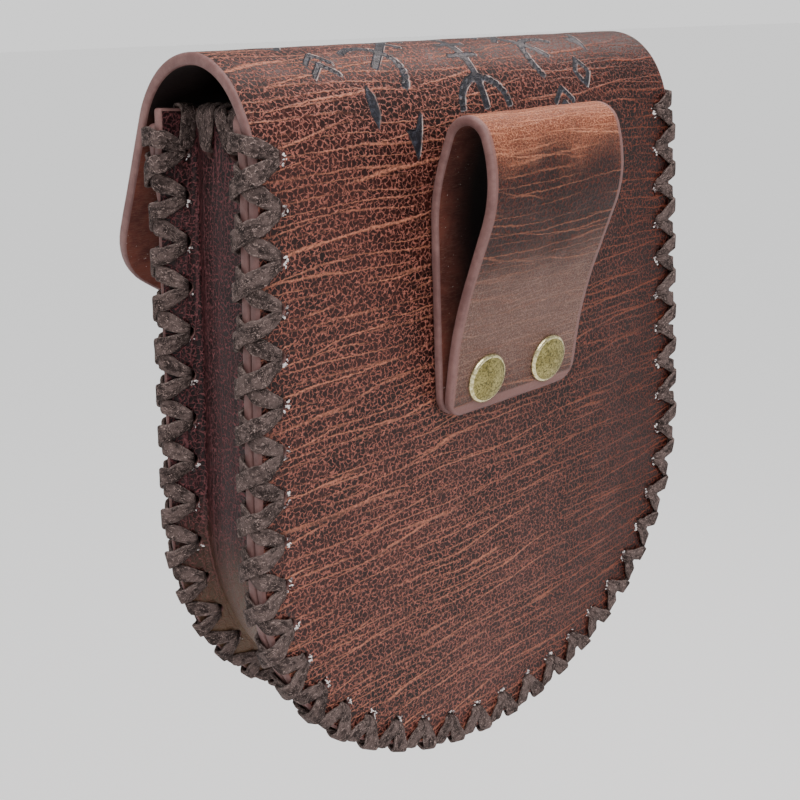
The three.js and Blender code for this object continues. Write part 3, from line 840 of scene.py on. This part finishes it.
# The ornament: a wheel of forked staves over the top, inside a ring of small marks. Sizes from the wheel's
# centre outwards, on the flat leather.
WHEEL_CENTRE = (1.5, 45.5)
STAVE_START = 3.0
STAVE_END = 40.8
STAVE_HALF_WIDTH = 1.0
STAVE_BARS = (14.3, 21.4, 26.3)
BAR_HALF_LENGTH = 4.7
BAR_HALF_WIDTH = 0.8
FORK_RADIUS = 7.8
MARK_RING = 50.5
MARK_COUNT = 24
FIRST_MARK = -33 * DEGREES
MARK_SCALE = 1.2
GLINT_SHIFT = (-0.3, 0.06)
FAR_OFF = 50.0

# Each mark is one or more shapes, drawn as corners (sideways, up) from its middle
DART = [[(0.3, -4.6), (2.9, 1.8), (0.6, 1.2), (-1.3, 4.4), (-1.9, 4.2)]]
SPINDLE = [[(0, -4.4), (1.1, -1.6), (1.1, 1.6), (0, 4.4), (-1.1, 1.6), (-1.1, -1.6)]]
PEAKS = [
    [(-3.2, -3.0), (0, 0.2), (3.2, -3.0), (3.2, -1.4), (0, 1.8), (-3.2, -1.4)],
    [(-3.2, 0.0), (0, 3.2), (3.2, 0.0), (3.2, 1.6), (0, 4.8), (-3.2, 1.6)],
]
LOZENGE = [
    [(0, -4.0), (2.9, 0), (1.5, 0), (0, -2.1)],
    [(0, -4.0), (0, -2.1), (-1.5, 0), (-2.9, 0)],
    [(2.9, 0), (0, 4.0), (0, 2.1), (1.5, 0)],
    [(-2.9, 0), (-1.5, 0), (0, 2.1), (0, 4.0)],
]
WEDGE = [[(-2.9, 3.4), (0.5, -3.9), (2.8, 3.0)]]
MARKS = (PEAKS, SPINDLE, DART, LOZENGE, WEDGE, SPINDLE, PEAKS, LOZENGE, DART, WEDGE, SPINDLE, LOZENGE)


def turned(points, centre, angle):
    """Flat points in a frame that is centred and turned: along the angle, and to the left of it."""
    x, y = (points - centre).T
    c, s = math.cos(angle), math.sin(angle)
    return np.stack([x * c + y * s, y * c - x * s], -1)


def stroke_distance(points, start, end, half_width):
    """How far each flat point lies outside a straight stroke with square ends, below zero inside it."""
    way = np.subtract(end, start)
    length = math.hypot(*way)
    along, aside = ((points - start) @ np.array([way, (-way[1], way[0])]).T / length).T
    return np.maximum.reduce([-along, along - length, np.abs(aside) - half_width])


def shape_distance(points, corners):
    """How far each flat point lies outside a shape, below zero inside it."""
    nearest = np.full(len(points), np.inf)
    inside = np.zeros(len(points), bool)
    for start, end in zip(corners, [*corners[1:], corners[0]]):
        nearest = np.minimum(nearest, line_distance(points, start, end))
        crosses = (start[1] > points[:, 1]) != (end[1] > points[:, 1])
        rise = end[1] - start[1] or 1.0
        inside ^= crosses & (points[:, 0] < start[0] + (points[:, 1] - start[1]) * (end[0] - start[0]) / rise)
    return np.where(inside, -nearest, nearest)


def ornament_distance(points):
    """How far each flat point lies outside the ornament's lines, below zero inside them."""
    nearest = np.full(len(points), FAR_OFF)
    fork = rounded((STAVE_END, 0), FORK_RADIUS, math.pi / 2, 1.5 * math.pi, 1.5)
    strokes = [((STAVE_START, 0), (STAVE_END, 0), STAVE_HALF_WIDTH)]
    for bar in STAVE_BARS:
        strokes.append(((bar, -BAR_HALF_LENGTH), (bar, BAR_HALF_LENGTH), BAR_HALF_WIDTH))
    strokes += [(start, end, STAVE_HALF_WIDTH) for start, end in zip(fork, fork[1:])]
    for i in range(8):
        local = turned(points, WHEEL_CENTRE, i * math.pi / 4)
        for stroke in strokes:
            nearest = np.minimum(nearest, stroke_distance(local, *stroke))
    for i in range(MARK_COUNT):
        angle = FIRST_MARK - i * 2 * math.pi / MARK_COUNT
        middle = np.add(WHEEL_CENTRE, (MARK_RING * math.cos(angle), MARK_RING * math.sin(angle)))
        local = (points - middle) / MARK_SCALE
        for corners in MARKS[i % len(MARKS)]:
            nearest = np.minimum(nearest, shape_distance(local, corners) * MARK_SCALE)
    return nearest


def add_back_and_flap():
    outline = panel_outline()
    outline += flap_outline(outline[-1][0])
    top = max(y for _, y in outline)
    cells = [
        [
            *steps_between(low, start, coarse),
            *steps_between(start, end, ORNAMENT_CELL),
            *steps_between(end, high, coarse),
        ]
        for low, (start, end), high, coarse in (
            (-BEYOND_SIDES, ORNAMENT_SIDES, BEYOND_SIDES, 2),
            (BEYOND_FOOT, ORNAMENT_LEVELS, top, CELL),
        )
    ]
    made = leather_piece(
        "back_and_flap", (back_grain, flap_flesh), outline, (PANEL_LEATHER, PANEL_EDGE), cells,
        hole_places(), bend_back, "body_leather",
    )
    flat = np.zeros(3 * len(made.data.vertices))
    made.data.attributes["cut"].data.foreach_get("vector", flat)
    points = flat.reshape(-1, 3)[:, :2]
    keep_attribute(made.data, "mark", ornament_distance(points))
    keep_attribute(made.data, "mark_glint", ornament_distance(points - GLINT_SHIFT))
    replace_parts(made, "back_and_flap")


# The front panel and the gusset


def bend_front(across, along, depth):
    outwards, normal_x, normal_z = outside_seam(across, along)
    moved, y = leaning(outwards, FRONT_OUTER + depth, along)
    moved -= outwards
    return np.stack([across + moved * normal_x, y, along + moved * normal_z], -1)


def add_front_panel():
    outline = panel_outline()
    half_width = outline[-1][0]
    corner = FRONT_CORNER_RADIUS
    outline += rounded((half_width - corner, FRONT_RISE - corner), corner, 0, math.pi / 2, 0.5)
    outline += rounded((corner - half_width, FRONT_RISE - corner), corner, math.pi / 2, math.pi, 0.5)
    cells = steps_between(-BEYOND_SIDES, BEYOND_SIDES, CELL), steps_between(BEYOND_FOOT, FRONT_RISE, CELL)
    made = leather_piece(
        "front_panel", (back_grain, shaded_flesh), outline, (PANEL_LEATHER, PANEL_EDGE), cells,
        hole_places(), bend_front, "body_leather",
    )
    for name in ("mark", "mark_glint"):
        keep_attribute(made.data, name, np.full(len(made.data.vertices), FAR_OFF))
    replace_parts(made, "front_panel")


WEB_LEAN = 2 * math.atan(2 * WEB_BULGE / CHANNEL_DEPTH)
WEB_CHORD = CHANNEL_DEPTH - 2 * FOLD_RADIUS * (1 + math.sin(WEB_LEAN))
FOLD = arc(FOLD_RADIUS, math.pi / 2 + WEB_LEAN)
section = Bend(
    (SEAM_MARGIN, FLANGE_BACK),
    math.pi / 2,
    [
        (FLANGE_WIDTH, 0),
        FOLD,
        arc(WEB_CHORD / (2 * math.sin(WEB_LEAN)), -2 * WEB_LEAN),
        FOLD,
        (FLANGE_WIDTH, 0),
    ],
)
GUSSET_TOP = HALF_SEAM + GUSSET_RISE / math.cos(SIDE_SPLAY)


def bend_gusset(across, along, depth):
    outwards, y, heading = section.at(across)
    return beside_seam(outwards + depth * np.cos(heading), y + depth * np.sin(heading), along)


def web_holes():
    """The holes in the web near each end, in the flat leather."""
    middle = section.end / 2
    return [(middle + way * TOP_HOLE_SPACING / 2, end * HALF_SEAM) for end in (-1, 1) for way in (-1, 1)]


def add_gusset():
    width, top = section.end, GUSSET_TOP
    soft, sharp = (3.5, 0.6), (0.6, 0.4)
    outline = rounded_box((0, -top), (width, top), (soft, sharp, sharp, soft))
    folds = [(run[0], run[0] + FOLD[0]) for run in (section.runs[1], section.runs[3])]
    coarse = steps_between(0, width, GUSSET_CELL)
    coarse = [s for s in coarse if not any(a - 0.3 < s < b + 0.3 for a, b in folds)]
    fine = [s for a, b in folds for s in steps_between(a - FOLD_CELL, b + FOLD_CELL, FOLD_CELL)]
    holes = [(u, v) for v in SEAM_HOLES for u in (SEAM_MARGIN, width - SEAM_MARGIN)] + web_holes()
    cells = sorted(coarse + fine), steps_between(-top, top, CELL)
    made = leather_piece(
        "gusset", (gusset_grain, shaded_flesh), outline, (GUSSET_LEATHER, GUSSET_EDGE), cells, holes,
        bend_gusset, "gusset_leather", 0.06,
    )
    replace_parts(made, "gusset")


# The belt loop and its rivets


def strap_runs():
    """The strap's way: up the back panel, over and down. The two straight runs are as long as it takes to
    bring the outer layer back onto the inner one at the foot."""
    start = [
        (STRAP_LIFT - STRAP_FOOT, 0),
        arc(LIFT_RADIUS, -LIFT_TURN),
        (LIFT_LENGTH, 0),
        arc(FOLD_OVER_RADIUS, -FOLD_OVER_TURN),
        arc(BULGE_RADIUS, -BULGE_TURN),
    ]
    reached = Bend((LAYER_GAP, STRAP_FOOT), 0, start).end_place
    lean = LIFT_TURN + FOLD_OVER_TURN + BULGE_TURN - math.pi
    sines, cosines = (math.sin(lean), math.sin(FOOT_LEAN)), (math.cos(lean), math.cos(FOOT_LEAN))
    inwards = reached.x - LAYER_GAP - 2 * STRAP_LEATHER - RUN_IN_RADIUS * (cosines[1] - cosines[0])
    downwards = reached.y - STRAP_FOOT - RUN_IN_RADIUS * (sines[0] - sines[1])
    share = sines[0] * cosines[1] - sines[1] * cosines[0]
    run = (inwards * cosines[1] - downwards * sines[1]) / share
    foot_run = (downwards * sines[0] - inwards * cosines[0]) / share
    return [*start, (run, 0), arc(RUN_IN_RADIUS, lean - FOOT_LEAN), (foot_run, 0)]


strap_bend = Bend((LAYER_GAP, STRAP_FOOT), 0, strap_runs())


def bend_strap(across, along, depth):
    y, z, heading = strap_bend.at(along)
    return np.stack([across, y + depth * np.cos(heading), z + depth * np.sin(heading)], -1)


def add_belt_loop():
    half, length = STRAP_WIDTH / 2, strap_bend.end
    outline = rounded_box((-half, 0), (half, length), [(STRAP_CORNER_RADIUS, 0.8)] * 4)
    cells = steps_between(-half, half, STRAP_CELLS[0]), steps_between(0, length, STRAP_CELLS[1])
    made = leather_piece(
        "belt_loop", (strap_grain, loop_flesh), outline, (STRAP_LEATHER, STRAP_EDGE), cells, [],
        bend_strap, "strap_leather", 0.14,
    )
    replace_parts(made, "belt_loop")


def lathe(bm, profile, matrix):
    """A round closed shape turned from a profile of (radius, height), put in place by the matrix."""
    points = [bm.verts.new((r, 0, h)) for r, h in profile]
    edges = [bm.edges.new(pair) for pair in zip(points, points[1:])]
    before = set(bm.verts) - set(points)
    bmesh.ops.spin(
        bm, geom=points + edges, cent=(0, 0, 0), axis=(0, 0, 1), angle=2 * math.pi, steps=40, use_merge=True
    )
    made = [v for v in bm.verts if v not in before]
    bmesh.ops.remove_doubles(bm, verts=made, dist=1e-4)
    made = [v for v in bm.verts if v not in before]
    for face in {f for v in made for f in v.link_faces}:
        face.material_index = int(face.calc_center_median().xy.length > BRIGHT_FROM)
    bmesh.ops.transform(bm, matrix=matrix, verts=made)


def add_rivet(name, across):
    """A low domed cap with a rolled rim, a post through the leather and a smaller cap inside."""
    last = strap_bend.runs[-1]
    along = last[0] + (last[1].y - RIVET_LEVEL) / math.cos(FOOT_LEAN)
    seat = Vector(bend_strap(np.array([across]), np.array([along]), np.array([0.0]))[0])
    cap = [(0, CAP_HEIGHT)]
    for share in (0.2, 0.4, 0.6, 0.75, 0.87, 0.94):
        cap.append((CAP_RADIUS * share, CAP_RIM + (CAP_HEIGHT - CAP_RIM) * math.sqrt(1 - share**2.2)))
    cap += [(CAP_RADIUS - inset, level) for inset, level in ((0.12, 0.62), (0, 0.3), (0.1, 0.02), (0.7, 0))]
    cap.append((0, 0))
    bm = bmesh.new()
    lathe(bm, cap, Matrix.Translation(seat) @ Matrix.Rotation(-math.pi / 2 - FOOT_LEAN, 4, "X"))
    inner = -PANEL_LEATHER - LAYER_GAP
    foot = Matrix.Translation((across, inner, RIVET_LEVEL)) @ Matrix.Rotation(math.pi / 2, 4, "X")
    lathe(bm, INNER_CAP, foot)
    post = seat.y - inner
    lathe(bm, [(0, 0), (POST_RADIUS, 0), (POST_RADIUS, -post), (0, -post)], foot)
    made = finished(bm, name, [brass, brass_rim])
    place(made, mesh_points(made.data), "brass")
    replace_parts(made, name)


# Laces, laid along a route

RING_CORNERS = 12
SQUARENESS = 0.4


def smooth_route(stops, parts):
    """Rows of numbers along a route, with a smooth curve through them."""
    stops = np.asarray(stops, float)
    slopes = np.gradient(stops, axis=0)
    rows = []
    for here, there, leave, arrive in zip(stops, stops[1:], slopes, slopes[1:]):
        for t in np.arange(parts) / parts:
            ease = t * t * (3 - 2 * t)
            pull = leave * t * (1 - t) ** 2 - arrive * t * t * (1 - t)
            rows.append(here * (1 - ease) + there * ease + pull)
    return np.array([*rows, stops[-1]])


def unit(rows):
    return rows / np.linalg.norm(rows, axis=1)[:, None]


def lay_laces(name, strands, parts=3):
    """Flat laces in one piece. Each strand is a list of stops: place, outward normal, width and thickness."""
    bm = bmesh.new()
    lay = bm.verts.layers.float_vector.new("lay")
    for strand in strands:
        rows = [[*at, *out / np.linalg.norm(out), width, thick] for at, out, width, thick in strand]
        stops = smooth_route(rows, parts)
        at, way = stops[:, :3], unit(np.gradient(stops[:, :3], axis=0))
        side = unit(np.cross(way, stops[:, 3:6]))
        out = np.cross(side, way)
        length = np.concatenate([[0], np.cumsum(np.linalg.norm(np.diff(at, axis=0), axis=1))])
        rows = len(stops) - 1
        sheet = bmesh.ops.create_grid(bm, x_segments=rows, y_segments=RING_CORNERS, size=1)["verts"]
        for vert in sheet:
            i = round((vert.co.x + 1) / 2 * rows)
            turn = round((vert.co.y + 1) / 2 * RING_CORNERS) * 2 * math.pi / RING_CORNERS
            across, up = (math.copysign(abs(c) ** SQUARENESS, c) for c in (math.cos(turn), math.sin(turn)))
            vert[lay] = (across, up, length[i])
            half_width, half_thick = stops[i, 6:] / 2
            vert.co = Vector(at[i] + side[i] * across * half_width + out[i] * up * half_thick)
        bmesh.ops.remove_doubles(bm, verts=[v for v in sheet if v.is_boundary], dist=1e-4)
    bmesh.ops.holes_fill(bm, edges=[e for e in bm.edges if e.is_boundary])
    made = finished(bm, name, [lace])
    return place(made, mesh_points(made.data), "lace")


# One half of a stitch, from inside a hole to the middle of the leather's edge: share of the way to the next
# hole, outwards from the holes, height above the face, lean of the lace outwards in degrees, width and
# thickness as shares of the lace's own
STITCH_HALF = [
    (0.06, -0.15, -1.3, -88, 0.56, 1.15),
    (0.07, 0.1, 0.1, -55, 0.58, 1.15),
    (0.1, 1.1, 0.8, -12, 0.68, 1.05),
    (0.2, 3.3, 0.62, 3, 0.9, 1),
    (0.3, 5.2, 0.55, 18, 1, 1),
    (0.34, 5.95, -0.1, 66, 1, 1),
]
OVER_EDGE = 0.62
CROSSING_LIFT = 0.95
BAR_BOW = 2.6
TOP_FAN = 3.4


def stitch(near, far, start, end, over, bow, wobble):
    """The stops of one stitch: up out of a hole, over the leather's edge and down into the next hole."""
    rows = [(share, out, near + up, lean) for share, out, up, lean, *_ in STITCH_HALF]
    middle = (near + far) / 2
    rows.append((0.5, SEAM_MARGIN + OVER_EDGE, middle, 90))
    rows += [(1 - share, out, far - up, 180 - lean) for share, out, up, lean, *_ in reversed(STITCH_HALF)]
    sizes = [half[4:] for half in STITCH_HALF]
    sizes = [*sizes, (0.95, 1), *reversed(sizes)]
    stops = []
    for (share, out, depth, lean), (wide, thick) in zip(rows, sizes):
        free = min(1, out / SEAM_MARGIN)
        along = start + (end - start) * share + bow * math.sin(math.pi * share)
        along += free * wobble.uniform(-0.22, 0.22)
        lean *= DEGREES
        lift = over * CROSSING_LIFT * max(0, math.sin(lean)) ** 0.5 if math.sin(lean) > 0 else 0
        lift += free * wobble.uniform(0, 0.12)
        spot, raised = (
            beside_seam(out + height * math.sin(lean), depth + height * math.cos(lean), along)
            for height in (lift, lift + 0.1)
        )
        width = LACE_WIDTH * wide * (1 + free * wobble.uniform(-0.09, 0.07))
        stops.append((spot, raised - spot, width, LACE_THICKNESS * thick))
    return stops


def add_seam_lacing(side, near, far, seed):
    """The two passes of lace that cross over a seam's edge, and a bar over the edge at each end."""
    wobble = random.Random(seed)
    forth, back = [], []
    for here, there in zip(SEAM_HOLES, SEAM_HOLES[1:]):
        forth += stitch(near, far, here, there, 0, 0, wobble)
    for here, there in zip(SEAM_HOLES[::-1], SEAM_HOLES[-2::-1]):
        back += stitch(near, far, here, there, 1, 0, wobble)
    bars = [
        stitch(near, far, hole - 0.4 * way, hole + 0.4 * way, 0.6, way * BAR_BOW, wobble)
        for hole, way in ((SEAM_HOLES[0], -1), (SEAM_HOLES[-1], 1))
    ]
    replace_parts(lay_laces(f"lace_{side}_first", [forth, *bars]), f"lace_{side}_first")
    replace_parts(lay_laces(f"lace_{side}_second", [back]), f"lace_{side}_second")


def wrap_over_top(end, hole, top, wobble):
    """A strand from a hole in the gusset, up over its top edge and back down inside."""
    rows = [
        (0, 0.0, 1.3, -90),
        (0, 0.3, -0.2, -50),
        (0.12, 1.2, -0.85, -8),
        (0.5, 4.4, -0.7, 0),
        (0.92, GUSSET_RISE - 1.0, -0.6, 12),
        (1, GUSSET_RISE + 0.35, 0.1, 55),
        (1, GUSSET_RISE + 0.75, GUSSET_LEATHER / 2, 90),
    ]
    way_back = reversed(rows[:-1])
    rows += [(share, up, GUSSET_LEATHER - depth, 180 - lean) for share, up, depth, lean in way_back]
    stops = []
    for share, up, depth, lean in rows:
        across = hole + (top - hole) * share + (up > 2) * wobble.uniform(-0.3, 0.3)
        at = [np.array([v]) for v in (across, end * (HALF_SEAM + up), depth)]
        spot = bend_gusset(*at)[0]
        outward = spot - bend_gusset(at[0], at[1], at[2] + 0.1)[0]
        upward = bend_gusset(at[0], at[1] + end * 0.1, at[2])[0] - spot
        outward, upward = (v / np.linalg.norm(v) for v in (outward, upward))
        normal = outward * math.cos(lean * DEGREES) + upward * math.sin(lean * DEGREES)
        width = LACE_WIDTH * (0.6 if up < 1 else 0.95)
        stops.append((spot, normal, width, LACE_THICKNESS))
    return stops


def add_gusset_lacing(side, end):
    """The lace over a gusset's top edge: strands fan out from the flange's first hole and two in the web."""
    wobble = random.Random(11 + end)
    strands = []
    for way in (1, -1):
        hole = section.end / 2 + way * TOP_HOLE_SPACING / 2
        for lean in (-TOP_FAN / 2, TOP_FAN / 2):
            strands.append(wrap_over_top(end, hole, hole + lean * 1.35, wobble))
    flange_hole = section.end - SEAM_MARGIN
    strands.append(wrap_over_top(end, flange_hole, flange_hole - 1.2, wobble))
    made = lay_laces(f"lace_gusset_{side}", strands)
    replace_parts(made, f"lace_gusset_{side}")


FLECKS_EACH = 9


def add_torn_rims(name, places):
    """The leather's finish, torn up into small flecks at one side of each hole."""
    rough = random.Random(5)
    bm = bmesh.new()
    for spot, outward, inward in places:
        for _ in range(FLECKS_EACH):
            size = rough.uniform(0.25, 0.6)
            angle = rough.uniform(0, math.pi)
            turn = Matrix.Rotation(angle, 4, Vector([rough.uniform(-1, 1) for _ in range(3)]))
            squash = Matrix.Diagonal((size, size * rough.uniform(0.3, 0.8), size * 0.45, 1))
            reach = HOLE_RADIUS + rough.uniform(-0.2, 0.7)
            angle = rough.uniform(-0.9, 0.9)
            sideways = outward.cross(inward)
            at = spot + (inward * math.cos(angle) + sideways * math.sin(angle)) * reach + outward * 0.1
            matrix = Matrix.Translation(at) @ turn @ squash
            bmesh.ops.create_icosphere(bm, subdivisions=1, radius=1, matrix=matrix)
    made = finished(bm, name, [torn])
    place(made, mesh_points(made.data), "body_leather")


def rim_places(bend, holes, inward_of):
    """Each hole's place, its outward normal, and the way its torn side lies."""
    found = []
    for (u, v), inward in zip(holes, inward_of):
        at = [np.array([c]) for c in (u, v)]
        spot = Vector(bend(*at, np.array([0.0]))[0])
        outward = (spot - Vector(bend(*at, np.array([0.5]))[0])).normalized()
        found.append((spot, outward, Vector(inward).normalized()))
    return found


def add_hole_rims():
    _, _, normal_x, normal_z = seam_at(SEAM_HOLES)
    inward = [(-x, 0, -z - 0.5) for x, z in zip(normal_x, normal_z)]
    add_torn_rims("hole_rims_back", rim_places(bend_back, hole_places(), inward))
    add_torn_rims("hole_rims_front", rim_places(bend_front, hole_places(), inward))
    for side, across in (("back", SEAM_MARGIN), ("front", section.end - SEAM_MARGIN)):
        holes = [(across, v) for v in SEAM_HOLES]
        places = rim_places(bend_gusset, holes, [(0, 0, -1)] * len(holes))
        add_torn_rims(f"hole_rims_gusset_{side}", places)


# Floor and lights


FLOOR_LEVEL = -0.6
FLOOR_RADIUS = 60
POUCH_MIDDLE = Vector((0, -0.03, -0.07))
LIGHT_SIZE = 0.5


def add_light(name, place_at, power, colour=(1, 1, 1)):
    """A soft square light that faces the pouch."""
    light = bpy.data.lights.new(name, "AREA")
    light.size = LIGHT_SIZE
    light.energy = power
    light.color = colour
    made = bpy.data.objects.new(name, light)
    made.location = place_at
    aim = POUCH_MIDDLE - Vector(place_at)
    made.rotation_euler = aim.to_track_quat("-Z", "Y").to_euler()
    bpy.context.scene.collection.objects.link(made)


def add_studio():
    bm = bmesh.new()
    bmesh.ops.create_circle(bm, cap_ends=True, segments=64, radius=FLOOR_RADIUS)
    bmesh.ops.translate(bm, vec=(0, 0, FLOOR_LEVEL), verts=bm.verts)
    material, _, shader = new_material("floor", 0.9)
    shader.inputs["Base Color"].default_value = (0.96, 0.96, 0.96, 1)
    floor = finished(bm, "floor", [material])
    world = bpy.data.worlds.new("studio")
    bpy.context.scene.world = world
    world.use_nodes = True
    tree = world.node_tree
    background = tree.nodes["Background"]
    height = axis_of(tree, tree.nodes.new("ShaderNodeTexCoord").outputs["Generated"], "Z")
    tree.links.new(ramp(tree, height, 0.04, 0.3, 1.18, 0.46), background.inputs["Strength"])
    background.inputs["Color"].default_value = (1, 1, 1, 1)
    sun = bpy.data.lights.new("sun", "SUN")
    sun.energy = 2.6
    sun.angle = 50 * DEGREES
    made = bpy.data.objects.new("sun", sun)
    made.rotation_euler = Vector((0.3, 0.7, 1.0)).to_track_quat("Z", "Y").to_euler()
    bpy.context.scene.collection.objects.link(made)
    add_light("top", (0.25, 0.1, 0.8), 5)
    add_light("far_side", (-0.62, -0.12, 0.72), 4.5, (1, 0.86, 0.82))


# The pouch

# The colours of each grain are its dark and plain leather, its cracks and its creases
back_grain = leather_grain(
    "back_grain", ornament_dye_and_painted_light,
    (0.006, 0.0014, 0.0011), (0.032, 0.0064, 0.0048), (0.38, 0.125, 0.09), (0.54, 0.2, 0.12),
)
strap_grain = leather_grain(
    "strap_grain", strap_painted_light_and_rims,
    (0.008, 0.0016, 0.001), (0.02, 0.003, 0.0015), (0.13, 0.025, 0.012), (0.42, 0.15, 0.08),
)
gusset_grain = leather_grain(
    "gusset_grain", gusset_wear,
    (0.005, 0.0013, 0.0018), (0.013, 0.0022, 0.0028), (0.18, 0.052, 0.056), (0.14, 0.045, 0.05),
    slant=86 * DEGREES, cell=1.1,
)
# The flesh is painted nearly black as shade: on the back piece below the flap, all over on the front panel
# and gusset, and on the loop except near its sides.
flap_flesh = leather_flesh("flap_flesh", bright_from=66)
shaded_flesh = leather_flesh("shaded_flesh")
loop_flesh = leather_flesh("loop_flesh", bright_beside=22)
edge = leather_edge()
lace = suede_lace()
torn = torn_finish()
brass = aged_brass()
brass_rim = bright_brass()

add_back_and_flap()
add_front_panel()
add_gusset()
add_belt_loop()
add_rivet("rivet_left", -RIVET_SPACING / 2)
add_rivet("rivet_right", RIVET_SPACING / 2)
add_seam_lacing("back", 0, FLANGE_BACK, 3)
add_seam_lacing("front", FLANGE_FRONT, FRONT_OUTER, 4)
add_gusset_lacing("left", -1)
add_gusset_lacing("right", 1)
add_hole_rims()
add_studio()
